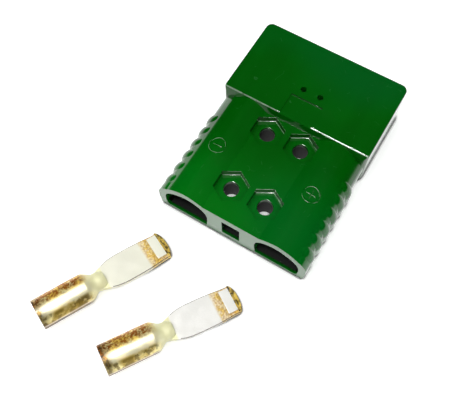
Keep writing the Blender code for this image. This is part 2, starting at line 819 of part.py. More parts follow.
def turned_barrel(name, collection):
    """Spin the half profile about the contact's axis, which runs along +Y."""
    mesh = bpy.data.meshes.new(name)
    points = [mm(radius, along, 0.0) for radius, along in barrel_profile()]
    edges = [(index, index + 1) for index in range(len(points) - 1)]
    mesh.from_pydata(points, edges, [])
    barrel = object_from_mesh(name, mesh, collection)
    spin = barrel.modifiers.new("turn", "SCREW")
    spin.axis = "Y"
    spin.steps = ROUND_SIDES
    spin.render_steps = ROUND_SIDES
    spin.use_merge_vertices = True
    spin.merge_threshold = 0.00001
    spin.use_normal_calculate = True
    bpy.context.view_layer.update()
    graph = bpy.context.evaluated_depsgraph_get()
    solid = bpy.data.meshes.new_from_object(barrel.evaluated_get(graph))
    bpy.data.objects.remove(barrel, do_unlink=True)
    bpy.data.meshes.remove(mesh)
    face_outward(solid)
    return object_from_mesh(name, solid, collection)


def blade_outline():
    """Plan of the blade: narrow at the neck, widest at mid length, domed at the tip."""
    neck = (BLADE_NECK_HALF_WIDTH, NECK_END)
    widest = (BLADE_MAX_HALF_WIDTH, NECK_END + BLADE_MAX_AT)
    corner = (BLADE_TIP_HALF_WIDTH, BLADE_TIP_AT)
    apex = (0.0, BLADE_TIP_AT + BLADE_TIP_BULGE)
    right = [
        (BLADE_NECK_HALF_WIDTH, SHOULDER_END - BLADE_ROOT_OVERLAP, False),
        (BLADE_NECK_HALF_WIDTH, SHOULDER_END, True),
        part_way(neck, widest, BLADE_WAIST_BOW),
        part_way(neck, widest, BLADE_FLARE_BOW),
        (*widest, True),
        part_way(widest, corner, BLADE_TAPER_BOW),
        part_way(widest, corner, BLADE_LATE_TAPER_BOW),
        (*corner, False),
        part_way(corner, apex, BLADE_TIP_BOW),
    ]
    left = [(-x, y, smooth) for x, y, smooth in reversed(right)]
    return right + [(*apex, True)] + left


def boss_block(name, helpers):
    """The raised boss near the blade tip, with a ramped rear face."""
    sunk = BLADE_TOP_ABOVE_AXIS - BOSS_SUNK_DEPTH
    outline = [
        (BOSS_RAMP_START, sunk, False),
        (BOSS_TOP_END + BOSS_FRONT_SLOPE, sunk, False),
        (BOSS_TOP_END, BOSS_TOP, False),
        (BOSS_TOP_START, BOSS_TOP, False),
        (BOSS_RAMP_START, BLADE_TOP_ABOVE_AXIS, False),
    ]
    thing = flat_curve(name, outline, BOSS_HALF_WIDTH * 2, helpers)
    thing.matrix_world = OUTLINE_IN_YZ
    return as_helper(baked_curve(name, thing, helpers))


def tip_lip(name, helpers):
    """The lip across the tip: a rounded bar that curls up and falls to the domed end."""
    back = (BOSS_TOP_END - LIP_BACK_LAP, BOSS_TOP - LIP_BACK_DROP)
    nose = (BLADE_TIP_AT, BLADE_TOP_ABOVE_AXIS - LIP_NOSE_DROP)
    outline = [
        (back[0], BLADE_TOP_ABOVE_AXIS - BOSS_SUNK_DEPTH, False),
        (BLADE_TIP_AT, BLADE_TOP_ABOVE_AXIS - LIP_FOOT_DEPTH, False),
        (*nose, True),
        part_way(nose, back, (1.0 - LIP_BROW_BOW[0], LIP_BROW_BOW[1])),
        part_way(nose, back, (1.0 - LIP_CREST_BOW[0], LIP_CREST_BOW[1])),
        (*back, False),
    ]
    thing = flat_curve(name, outline, (BLADE_TIP_HALF_WIDTH - LIP_SIDE_INSET) * 2, helpers)
    thing.matrix_world = OUTLINE_IN_YZ
    return as_helper(baked_curve(name, thing, helpers))


def build_contact(name, x, y, heading, parts, helpers, material):
    """A crimp contact, built along +Y and then laid on the floor.

    It rests on the front edge of its barrel and on its blade tip, as a loose one does.
    """
    contact = turned_barrel(name, parts)
    blade = flat_curve(name + "_blade", blade_outline(), BLADE_THICKNESS, helpers)
    blade.location = mm(0.0, 0.0, (BLADE_TOP_ABOVE_AXIS + BLADE_LOW) / 2)
    blade = as_helper(baked_curve(name + "_blade", blade, helpers))
    soften_edges(blade, BLADE_EDGE_RADIUS, BLADE_EDGE_SEGMENTS)
    boss = boss_block(name + "_boss", helpers)
    lip = tip_lip(name + "_lip", helpers)
    for addition in (blade, boss, lip):
        apply_boolean(contact, addition, "UNION")
    contact.data.materials.append(material)
    reach = BLADE_TIP_AT + BLADE_TIP_BULGE - BARREL_LENGTH
    tilt = math.atan2(BARREL_RADIUS + BLADE_LOW, reach)
    lowest = BARREL_RADIUS * math.cos(tilt) + BARREL_LENGTH * math.sin(tilt)
    place = (
        Matrix.Translation(mm(x, y, lowest))
        @ Matrix.Rotation(-math.radians(heading), 4, "Z")
        @ Matrix.Rotation(-tilt, 4, "X")
    )
    for thing in (contact, blade, boss, lip):
        thing.matrix_world = place @ thing.matrix_world
    return contact


def main():
    """Build every piece of the connector."""
    clear_scene()
    parts = new_collection(PART_COLLECTION)
    helpers = new_collection(CUTTER_COLLECTION)
    green = new_material("housing_plastic", (0.0, 0.16, 0.02), 0.3, 0.0)
    left_metal = new_material("contact_left_metal", (0.75, 0.6, 0.2), 0.3, 1.0)
    right_metal = new_material("contact_right_metal", (0.75, 0.6, 0.2), 0.3, 1.0)
    left_steel = new_material("spring_left_steel", (0.6, 0.6, 0.6), 0.3, 1.0)
    right_steel = new_material("spring_right_steel", (0.6, 0.6, 0.6), 0.3, 1.0)
    pieces = [
        build_housing(parts, helpers, green),
        build_spring("spring_right", 1, parts, right_steel),
        build_spring("spring_left", -1, parts, left_steel),
        build_contact(
            "contact_right",
            RIGHT_CONTACT_X,
            RIGHT_CONTACT_Y,
            RIGHT_CONTACT_HEADING,
            parts,
            helpers,
            right_metal,
        ),
        build_contact(
            "contact_left",
            LEFT_CONTACT_X,
            LEFT_CONTACT_Y,
            LEFT_CONTACT_HEADING,
            parts,
            helpers,
            left_metal,
        ),
    ]
    for piece in pieces:
        piece.data.shade_smooth()
        piece.data.set_sharp_from_angle(angle=math.radians(SHARP_ANGLE))


if __name__ == "__main__":
    main()
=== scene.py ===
"""Looks of a two-pole battery power connector with its two loose crimp contacts.

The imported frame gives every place, and this script gives the fine shape and the finish.
The housing lies on the floor with its cable end towards -Y and its mating mouth towards +Y.
Sizes are millimetres and meshes are metres.
"""

import logging
import math
from collections.abc import Callable, Iterator, Sequence
from contextlib import contextmanager
from dataclasses import dataclass
from enum import Enum

import bmesh
import bpy
from mathutils import Matrix, Vector
from mathutils.bvhtree import BVHTree


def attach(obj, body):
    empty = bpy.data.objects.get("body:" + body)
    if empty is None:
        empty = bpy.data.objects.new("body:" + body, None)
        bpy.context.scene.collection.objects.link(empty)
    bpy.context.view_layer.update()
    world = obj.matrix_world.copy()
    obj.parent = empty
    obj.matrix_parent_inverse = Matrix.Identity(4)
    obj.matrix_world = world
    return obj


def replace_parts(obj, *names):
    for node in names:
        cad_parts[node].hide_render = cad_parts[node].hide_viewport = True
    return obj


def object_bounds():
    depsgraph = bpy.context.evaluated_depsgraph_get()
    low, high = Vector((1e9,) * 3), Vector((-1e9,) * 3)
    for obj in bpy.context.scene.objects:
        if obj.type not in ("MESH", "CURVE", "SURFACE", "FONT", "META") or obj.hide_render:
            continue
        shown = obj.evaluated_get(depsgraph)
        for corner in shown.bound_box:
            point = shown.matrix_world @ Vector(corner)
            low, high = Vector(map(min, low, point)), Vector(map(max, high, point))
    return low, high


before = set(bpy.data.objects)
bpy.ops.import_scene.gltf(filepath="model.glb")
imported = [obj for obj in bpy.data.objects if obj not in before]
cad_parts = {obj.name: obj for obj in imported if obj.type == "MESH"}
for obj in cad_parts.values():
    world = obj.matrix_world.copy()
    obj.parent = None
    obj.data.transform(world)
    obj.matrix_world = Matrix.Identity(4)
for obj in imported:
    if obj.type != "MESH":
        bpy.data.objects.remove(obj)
CAD_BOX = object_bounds()

LOG = logging.getLogger("battery_connector")
BODY = "root"
MM = 0.001
WELD = 0.001
TOUCH = 0.02
SHARP_ANGLE = 34.0
CUT_MARGIN = 1.0
SQUARE_ANGLE = 60.0
CORNER_STEPS = 8
FLAT_WEIGHT = 100
FALLING = (1.0, 0.0)

Colour = tuple[float, float, float]
Knot = tuple[float, float, bool]
Point = tuple[float, float]
EdgeTest = Callable[[bmesh.types.BMEdge], bool]

# An outline's own X, Y and depth laid along world X, Y, Z, along X, Z, -Y and along Y, Z, X
OUTLINE_IN_XY = Matrix.Identity(4)
OUTLINE_IN_XZ = Matrix(((1, 0, 0, 0), (0, 0, -1, 0), (0, 1, 0, 0), (0, 0, 0, 1)))
OUTLINE_IN_YZ = Matrix(((0, 0, 1, 0), (1, 0, 0, 0), (0, 1, 0, 0), (0, 0, 0, 1)))


class Step(Enum):
    """What a Boolean step does to a solid."""

    JOIN = "UNION"
    CUT = "DIFFERENCE"


class Pole(Enum):
    """Which of the two poles a side of the connector carries, and its place along X."""

    PLUS = 1
    MINUS = -1


# ---- Meshes


def mm(*values: float) -> Vector:
    """Turn millimetres into a vector in metres."""
    return Vector([value * MM for value in values])


def mesh_from(work: bmesh.types.BMesh, name: str) -> bpy.types.Mesh:
    """Write a working mesh out under a name and free it.

    Args:
        work: the working mesh.
        name: the mesh's name.

    Returns:
        The mesh.
    """
    mesh = bpy.data.meshes.new(name)
    work.to_mesh(mesh)
    work.free()
    return mesh


def evaluated(thing: bpy.types.Object) -> bpy.types.Mesh:
    """Turn an object with its modifiers into a plain mesh and remove the object.

    Args:
        thing: the object, which isn't linked to the scene yet.

    Returns:
        The mesh, with the object's place in it.
    """
    bpy.context.scene.collection.objects.link(thing)
    bpy.context.view_layer.update()
    graph = bpy.context.evaluated_depsgraph_get()
    mesh = bpy.data.meshes.new_from_object(thing.evaluated_get(graph))
    mesh.transform(thing.matrix_world)
    bpy.data.objects.remove(thing, do_unlink=True)
    return mesh


@contextmanager
def edited(mesh: bpy.types.Mesh) -> Iterator[bmesh.types.BMesh]:
    """Open a mesh for work and write it back afterwards.

    Args:
        mesh: the mesh.

    Returns:
        The working mesh, for the length of a with statement.
    """
    work = bmesh.new()
    work.from_mesh(mesh)
    yield work
    work.to_mesh(mesh)
    work.free()


def face_outward(mesh: bpy.types.Mesh) -> bpy.types.Mesh:
    """Weld coincident points, drop stray slivers and turn every face outward.

    Args:
        mesh: a closed mesh in metres.

    Returns:
        The same mesh.
    """
    with edited(mesh) as work:
        bmesh.ops.remove_doubles(work, verts=work.verts, dist=WELD * MM)
        stray = [face for face in work.faces if all(edge.is_boundary for edge in face.edges)]
        bmesh.ops.delete(work, geom=stray, context="FACES")
        bmesh.ops.recalc_face_normals(work, faces=work.faces)
    return mesh


def smooth_outline(knots: Sequence[Knot], resolution: int) -> list[Point]:
    """Points round a closed outline.

    Args:
        knots: (x, y, smooth) in millimetres, where a smooth knot rounds the outline.
        resolution: points between two knots.

    Returns:
        The points in order, in millimetres.
    """
    curve = bpy.data.curves.new("outline", "CURVE")
    curve.dimensions = "2D"
    curve.fill_mode = "NONE"
    curve.resolution_u = resolution
    spline = curve.splines.new("BEZIER")
    spline.bezier_points.add(len(knots) - 1)
    spline.use_cyclic_u = True
    for knot, (x, y, smooth) in zip(spline.bezier_points, knots):
        knot.co = (x, y, 0.0)
        knot.handle_left_type = "AUTO" if smooth else "VECTOR"
        knot.handle_right_type = knot.handle_left_type
    mesh = evaluated(bpy.data.objects.new("outline", curve))
    return [(vert.co.x, vert.co.y) for vert in mesh.vertices]


def lofted(name: str, rings: Sequence[Sequence[Vector]], closed: bool = False) -> bpy.types.Mesh:
    """Skin a solid over rings that all have the same number of points.

    Args:
        name: the mesh's name.
        rings: rows of points in metres.
        closed: whether the last ring joins the first, in place of two flat ends.

    Returns:
        The closed mesh, facing outward.
    """
    work = bmesh.new()
    rows = [[work.verts.new(point) for point in ring] for ring in rings]
    pairs = list(zip(rows, rows[1:]))
    if closed:
        pairs.append((rows[-1], rows[0]))
    else:
        work.faces.new(list(reversed(rows[0])))
        work.faces.new(rows[-1])
    for low, high in pairs:
        for index in range(len(low)):
            after = (index + 1) % len(low)
            work.faces.new((low[index], low[after], high[after], high[index]))
    bmesh.ops.recalc_face_normals(work, faces=work.faces)
    return mesh_from(work, name)


def prism(name: str, outline: Sequence[Point], start: float, end: float, turn: Matrix) -> bpy.types.Mesh:
    """Extrude an outline along its own depth.

    Args:
        name: the mesh's name.
        outline: points in millimetres.
        start: depth of the first end, in millimetres.
        end: depth of the second end.
        turn: how the outline's axes lie in the world.

    Returns:
        The closed mesh, in metres.
    """
    rings = [[turn @ mm(x, y, depth) for x, y in outline] for depth in (start, end)]
    return lofted(name, rings)


def box(name: str, low: Sequence[float], high: Sequence[float]) -> bpy.types.Mesh:
    """A box between two corners, in millimetres."""
    outline = [(low[0], low[1]), (high[0], low[1]), (high[0], high[1]), (low[0], high[1])]
    return prism(name, outline, low[2], high[2], OUTLINE_IN_XY)


def circle(radius: float, sides: int, centre: Point = (0.0, 0.0)) -> list[Point]:
    """Points round a circle, from its +X side on."""
    turns = [math.tau * index / sides for index in range(sides)]
    return [(centre[0] + radius * math.cos(t), centre[1] + radius * math.sin(t)) for t in turns]


def arc(centre: Point, radius: float, start: float, end: float, steps: int) -> list[Point]:
    """Points along an arc, between two angles in degrees from +X."""
    turns = [math.radians(start + (end - start) * step / steps) for step in range(steps + 1)]
    return [(centre[0] + radius * math.cos(t), centre[1] + radius * math.sin(t)) for t in turns]


def round_bar(radius: float, low: float, high: float, sides: int) -> bpy.types.Mesh:
    """An upright round or many-sided bar, in millimetres, with a point of its outline at +Y."""
    return prism("bar", [(x, y) for y, x in circle(radius, sides)], low, high, OUTLINE_IN_XY)


def rounded_rectangle(half_x: float, low: float, high: float, radius: float) -> list[Point]:
    """Outline of a rectangle about X = 0 with quarter-round corners, in millimetres.

    Args:
        half_x: half its width.
        low: its lower side.
        high: its upper side.
        radius: the corners' radius.

    Returns:
        The points in order.
    """
    outline = []
    corners = ((1, high - radius), (-1, high - radius), (-1, low + radius), (1, low + radius))
    for quarter, (side, y) in enumerate(corners):
        centre = (side * (half_x - radius), y)
        outline += arc(centre, radius, 90.0 * quarter, 90.0 * (quarter + 1), CORNER_STEPS)
    return outline


def round_edges(mesh: bpy.types.Mesh, chosen: EdgeTest, radius: float, segments: int = 3) -> bpy.types.Mesh:
    """Round the edges that a test picks.

    Args:
        mesh: a closed mesh in metres.
        chosen: says of each edge whether it is rounded.
        radius: in millimetres.
        segments: faces across the rounding.

    Returns:
        The same mesh.
    """
    with edited(mesh) as work:
        work.normal_update()
        bmesh.ops.bevel(
            work,
            geom=[edge for edge in work.edges if edge.is_manifold and chosen(edge)],
            offset=radius * MM,
            offset_type="OFFSET",
            segments=segments,
            profile=0.5,
            affect="EDGES",
            clamp_overlap=True,
            material=-1,
        )
    return mesh


def sharper_than(degrees: float) -> EdgeTest:
    """A test for edges that turn by more than an angle."""
    limit = math.radians(degrees)
    return lambda edge: edge.calc_face_angle(0.0) > limit


def lies_in(axis: int, place: float, degrees: float = 40.0) -> EdgeTest:
    """A test for sharp edges in the plane across an axis at a place in millimetres.

    Args:
        axis: 0 for X, 1 for Y or 2 for Z.
        place: where the plane crosses it.
        degrees: how far the edge has to turn.

    Returns:
        The test.
    """
    sharp = sharper_than(degrees)

    def test(edge: bmesh.types.BMEdge) -> bool:
        """Whether both ends lie in the plane and the edge is sharp."""
        return all(abs(vert.co[axis] / MM - place) < TOUCH for vert in edge.verts) and sharp(edge)

    return test


def drop_short_edges(mesh: bpy.types.Mesh, place: float, length: float) -> None:
    """Merge points that stand close together in a plane across Y, so that it can be rounded fully.

    Args:
        mesh: a closed mesh in metres.
        place: the plane's Y in millimetres.
        length: the longest distance that is merged, in millimetres.
    """
    with edited(mesh) as work:
        rim = [vert for vert in work.verts if abs(vert.co.y / MM - place) < TOUCH]
        bmesh.ops.remove_doubles(work, verts=rim, dist=length * MM)


def carved(name: str, base: bpy.types.Mesh, steps: Sequence[tuple[Step, bpy.types.Mesh]]) -> bpy.types.Mesh:
    """Join solids to a solid and cut solids out of it, in order.

    Args:
        name: the result's name.
        base: the solid to start from.
        steps: what to do with each further solid.

    Returns:
        The resulting mesh.
    """
    target = bpy.data.objects.new(name, base)
    helpers = []
    for step, mesh in steps:
        helper = bpy.data.objects.new(name + "_step", mesh)
        bpy.context.scene.collection.objects.link(helper)
        helpers.append(helper)
        boolean = target.modifiers.new(mesh.name, "BOOLEAN")
        boolean.operation = step.value
        boolean.solver = "EXACT"
        boolean.object = helper
    result = evaluated(target)
    for helper in helpers:
        bpy.data.objects.remove(helper, do_unlink=True)
    return face_outward(result)


def finished_piece(
    name: str, mesh: bpy.types.Mesh, finish: bpy.types.Material
) -> bpy.types.Object:
    """Make a mesh a smooth shaded piece that rides on the connector's body.

    Args:
        name: the piece's name.
        mesh: its mesh, in place.
        finish: its material.

    Returns:
        The piece.
    """
    mesh.name = name
    mesh.materials.clear()
    mesh.materials.append(finish)
    mesh.shade_smooth()
    mesh.set_sharp_from_angle(angle=math.radians(SHARP_ANGLE))
    piece = bpy.data.objects.new(name, mesh)
    bpy.context.scene.collection.objects.link(piece)
    flats = piece.modifiers.new("even_flats", "WEIGHTED_NORMAL")
    flats.keep_sharp = True
    flats.weight = FLAT_WEIGHT
    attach(piece, BODY)
    return piece


def note_edge_light(mesh: bpy.types.Mesh, edge_light: Callable[[Vector, Vector], float]) -> None:
    """Keep each face's share of painted edge light, for the plastic's painted highlights and shade.

    Args:
        mesh: the mesh, in metres.
        edge_light: gives a share from a face's centre in millimetres and its normal.
    """
    worn = mesh.attributes.new("painted_edge_light", "FLOAT", "FACE")
    for index, face in enumerate(mesh.polygons):
        worn.data[index].value = edge_light(face.center / MM, face.normal)


# ---- Sizes of the housing


@dataclass(frozen=True)
class HousingSizes:
    """Sizes of the moulded housing, in millimetres."""

    cable_end: float = -64.0
    front: float = 64.0
    hood_rear: float = 7.8
    hood_half_width: float = 48.0
    hood_height: float = 30.0
    hood_corner: float = 4.2
    hood_rear_corner: float = 3.4
    hood_edge: float = 1.1
    slope_run: float = 1.6
    slope_drop: float = 4.0
    body_into_hood: float = 4.0
    foot_x: float = 44.4
    side_x: float = 47.3
    side_height: float = 11.0
    shoulder: Point = (42.9, 22.6)
    crown: Point = (28.6, 29.2)
    panel: Point = (18.0, 25.6)
    mouth_depth: float = 46.0
    mouth_half_width: float = 44.2
    mouth_floor: float = 3.6
    mouth_top: float = 26.4
    mouth_corner: float = 2.4
    shelf_half_width: float = 41.0
    shelf_height: float = 11.2
    shelf_length: float = 40.0
    groove_width: float = 18.6
    groove_floor: float = 8.0
    groove_end_wall: float = 2.4


@dataclass(frozen=True)
class RibSizes:
    """Sizes of the grip ribs and the band at the cable end, in millimetres."""

    count: int = 6
    pitch: float = 9.15
    radius: float = 6.3
    stand_out: float = 1.59
    shoulder_stand_out: float = 0.6
    foot_lean: float = 1.0
    upper_lean: float = 0.7
    top_inset: float = 6.4
    top_rise: float = 2.4
    back_depth: float = 3.6
    foot_height: float = 0.4
    overlap: float = 0.3
    band_length: float = 3.9
    band_stand_out: float = 1.3


@dataclass(frozen=True)
class OpeningSizes:
    """Sizes of the holes, pockets and windows, in millimetres."""

    bolt_half_spacing: float = 11.1
    bolt_rows: Point = (19.7, 61.0)
    bolt_radius: float = 4.6
    hex_across_flats: float = 18.4
    hex_depth: float = 4.2
    window_depth: float = 8.0
    window_inner: Point = (16.2, 16.6)
    window_outer: Point = (43.7, 14.0)
    window_crown: Point = (28.6, 24.4)
    window_floor: float = 2.2
    window_corner: float = 1.4
    chamber_x: float = 29.0
    chamber_z: float = 13.4
    chamber_radius: float = 9.6
    channel_half_width: float = 5.8
    channel_low: float = 4.8
    channel_high: float = 20.0
    channel_depth: float = 6.0
    channel_step: float = 1.4
    latch_half_width: float = 10.4
    latch_length: float = 16.6
    latch_depth: float = 0.9
    small_hole_half_spacing: float = 5.6
    small_hole_y: float = 30.4
    small_hole_radius: float = 1.8


@dataclass(frozen=True)
class Fillets:
    """Radii of the moulded edges, and the shortest edge that is kept at the cable end, in millimetres."""

    end: float = 0.5
    hex: float = 0.3
    hex_floor: float = 0.35
    shortest: float = 0.2
    slope: float = 0.9
    mark: float = 0.2


@dataclass(frozen=True)
class EdgeLightShares:
    """How strong the painted highlights on the moulded edges are, and which way a face with one looks.

    The shares run from -1 to 1, and a minus means painted shade.
    """

    # Painted shade on the latch recess walls.
    recess: float = -0.8
    # Painted highlights on the cable end's rim, on the pockets' upper and lower edges, brightest at the near
    # pocket on +X, on the hood's rear edge, brightest at its right corner, and on the pole marks' edges.
    cable_rim_glint: float = 1.0
    near_pocket_glint: float = 0.9
    pocket: float = 0.5
    hood_corner: float = 1.0
    hood_right_glint: float = 0.4
    hood_left_glint: float = 0.2
    sign: float = 0.35
    # Only faces that look up and towards the cable end by more than facing get a painted highlight, and
    # pocket edges that turn left past turned_left get none.
    facing: float = 0.15
    turned_left: float = -0.3


# ---- Node trees


@dataclass(frozen=True, eq=False)
class Wire:
    """A wire in a node tree: sums, products and comparisons of its value add Math nodes."""

    bench: "Bench"
    socket: bpy.types.NodeSocket

    def maths(self, operation: str, other: "Wire | float" = 0.0) -> "Wire":
        """Work out this value with another one."""
        return self.bench.wire("ShaderNodeMath", {0: self, 1: other}, operation=operation)

    def __add__(self, other: "Wire | float") -> "Wire":
        """The sum."""
        return self.maths("ADD", other)

    def __sub__(self, other: "Wire | float") -> "Wire":
        """The difference."""
        return self.maths("SUBTRACT", other)

    def __rsub__(self, other: float) -> "Wire":
        """A number less this value."""
        return self.bench.wire("ShaderNodeMath", {0: other, 1: self}, operation="SUBTRACT")

    def __mul__(self, other: "Wire | float") -> "Wire":
        """The product."""
        return self.maths("MULTIPLY", other)

    def __lt__(self, other: "Wire | float") -> "Wire":
        """1 where this value is the smaller one, and 0 elsewhere."""
        return self.maths("LESS_THAN", other)

    def __gt__(self, other: "Wire | float") -> "Wire":
        """1 where this value is the larger one, and 0 elsewhere."""
        return self.maths("GREATER_THAN", other)

    def __abs__(self) -> "Wire":
        """The value without its sign."""
        return self.maths("ABSOLUTE")

    def larger(self, other: "Wire | float") -> "Wire":
        """The larger of the two."""
        return self.maths("MAXIMUM", other)

    def smaller(self, other: "Wire | float") -> "Wire":
        """The smaller of the two."""
        return self.maths("MINIMUM", other)

    def ramp(self, span: Sequence["Wire | float"], to: Point = (0.0, 1.0)) -> "Wire":
        """Map a span of the value smoothly to another span.

        Args:
            span: its low and high end.
            to: what they become.

        Returns:
            The mapped value.
        """
        inputs = dict(enumerate((self, *span, *to)))
        return self.bench.wire("ShaderNodeMapRange", inputs, interpolation_type="SMOOTHSTEP")


class Bench:
    """Adds nodes to one tree and wires them."""

    def __init__(self, tree: bpy.types.NodeTree) -> None:
        """Start on a tree, whose present nodes are removed."""
        self.tree = tree
        tree.nodes.clear()

    def add(self, kind: str, inputs: dict | None = None, **settings: object) -> bpy.types.Node:
        """Add a node.

        Args:
            kind: the node's type name.
            inputs: values or wires, by the input's name or number.
            settings: its properties.

        Returns:
            The node.
        """
        node = self.tree.nodes.new(kind)
        for key, value in settings.items():
            setattr(node, key, value)
        for key, value in (inputs or {}).items():
            if isinstance(value, Wire):
                self.tree.links.new(value.socket, node.inputs[key])
            else:
                node.inputs[key].default_value = value
        return node

    def wire(self, kind: str, inputs: dict | None = None, output: int | str = 0, **settings: object) -> Wire:
        """Add a node and take one of its outputs."""
        return Wire(self, self.add(kind, inputs, **settings).outputs[output])

    def mixed(self, share: Wire, low: Wire | Colour, high: Wire | Colour) -> Wire:
        """Mix two colours by a share, 0 for the first and 1 for the second."""
        ends = [end if isinstance(end, Wire) else (*end, 1.0) for end in (low, high)]
        return self.wire("ShaderNodeMix", {0: share, 6: ends[0], 7: ends[1]}, 2, data_type="RGBA")

    def noise(self, place: Wire, scale: Wire | float, detail: Wire | float, output: int = 0) -> Wire:
        """A noise's value, or with output 1 its colour."""
        return self.wire("ShaderNodeTexNoise", {"Vector": place, "Scale": scale, "Detail": detail}, output)

    def object_place(self) -> Wire:
        """A point's place on its object, in metres."""
        return self.wire("ShaderNodeTexCoord", output="Object")

    def axes(self, place: Wire, unit: float = MM) -> list[Wire]:
        """Split a place in metres into its X, Y and Z, in millimetres or another unit."""
        scaled = self.wire("ShaderNodeVectorMath", {0: place, "Scale": 1.0 / unit}, operation="SCALE")
        return [Wire(self, socket) for socket in self.add("ShaderNodeSeparateXYZ", {0: scaled}).outputs]


def open_tree(kind: str, name: str, inputs: dict[str, str], output: str) -> tuple[Bench, dict[str, Wire]]:
    """Start a node group with named inputs and one output.

    Args:
        kind: the tree's type name.
        name: the tree's name.
        inputs: each input's socket type by its name.
        output: the output's socket type.

    Returns:
        Its bench, and the wires from its inputs by name.
    """
    tree = bpy.data.node_groups.new(name, kind)
    for label, sort in inputs.items():
        tree.interface.new_socket(label, in_out="INPUT", socket_type="NodeSocket" + sort)
    tree.interface.new_socket("Result", in_out="OUTPUT", socket_type="NodeSocket" + output)
    bench = Bench(tree)
    return bench, {socket.name: Wire(bench, socket) for socket in bench.add("NodeGroupInput").outputs}


def mottle_group() -> bpy.types.NodeTree:
    """Cloudy patches: a noise whose middle values make a soft edged mask.

    Returns:
        The group.
    """
    kinds = {"Vector": "Vector", "Scale": "Float", "Detail": "Float", "Low": "Float", "High": "Float"}
    bench, given = open_tree("ShaderNodeTree", "mottle", kinds, "Float")
    noise = bench.noise(given["Vector"], given["Scale"], given["Detail"])
    bench.add("NodeGroupOutput", {0: noise.ramp((given["Low"], given["High"]))})
    return bench.tree


def scuff_group() -> bpy.types.NodeTree:
    """Handling marks: short hairlines that break off at random.

    Returns:
        The group.
    """
    kinds = {"Vector": "Vector", "Scale": "Float", "Width": "Float", "Amount": "Float"}
    bench, given = open_tree("ShaderNodeTree", "scuffs", kinds, "Float")
    place = given["Vector"]
    bend = bench.noise(place, scale=90.0, detail=1.0, output=1)
    shift = bench.wire("ShaderNodeVectorMath", {0: bend, "Scale": 0.012}, operation="SCALE")
    moved = bench.wire("ShaderNodeVectorMath", {0: place, 1: shift}, operation="ADD")
    inputs = {"Vector": moved, "Scale": given["Scale"]}
    cells = bench.wire("ShaderNodeTexVoronoi", inputs, feature="DISTANCE_TO_EDGE")
    kept = bench.noise(place, scale=220.0, detail=0.0) > (1.0 - given["Amount"])
    bench.add("NodeGroupOutput", {0: (cells < given["Width"]) * kept})
    return bench.tree


MOTTLE = mottle_group()
SCUFFS = scuff_group()


class MaterialBench(Bench):
    """A bench on a new material, with what the materials share."""

    def __init__(self, name: str) -> None:
        """Make the material."""
        self.material = bpy.data.materials.new(name)
        self.material.use_nodes = True
        super().__init__(self.material.node_tree)

    def mottled(self, place: Wire, scale: float, low: float, high: float, detail: float = 3.0) -> Wire:
        """A mask of cloudy patches between a low and a high value of a noise."""
        inputs = {"Vector": place, "Scale": scale, "Detail": detail, "Low": low, "High": high}
        return self.wire("ShaderNodeGroup", inputs, node_tree=MOTTLE)

    def scuffed(self, place: Wire, scale: float, width: float, amount: float) -> Wire:
        """A mask of hairlines."""
        inputs = {"Vector": place, "Scale": scale, "Width": width, "Amount": amount}
        return self.wire("ShaderNodeGroup", inputs, node_tree=SCUFFS)

    def stretched(self, place: Wire, scale: Colour) -> Wire:
        """A place scaled along each axis, for textures that run one way."""
        return self.wire("ShaderNodeMapping", {"Vector": place, "Scale": scale})

    def attribute(self, name: str, output: str = "Fac") -> Wire:
        """A mesh's own attribute."""
        return self.wire("ShaderNodeAttribute", output=output, attribute_name=name)

    def finished(self, inputs: dict, relief: Wire, strength: float, depth: float) -> bpy.types.Material:
        """End in one Principled surface with a bump.

        Args:
            inputs: the surface's inputs.
            relief: the bump's height.
            strength: the bump's strength.
            depth: the bump's depth in millimetres.

        Returns:
            The material.
        """
        height = {"Strength": strength, "Distance": depth * MM, "Height": relief}
        bump = self.wire("ShaderNodeBump", height)
        surface = self.wire("ShaderNodeBsdfPrincipled", {**inputs, "Normal": bump})
        self.add("ShaderNodeOutputMaterial", {"Surface": surface})
        return self.material


# ---- Materials, with every place in millimetres and every texture scale per metre


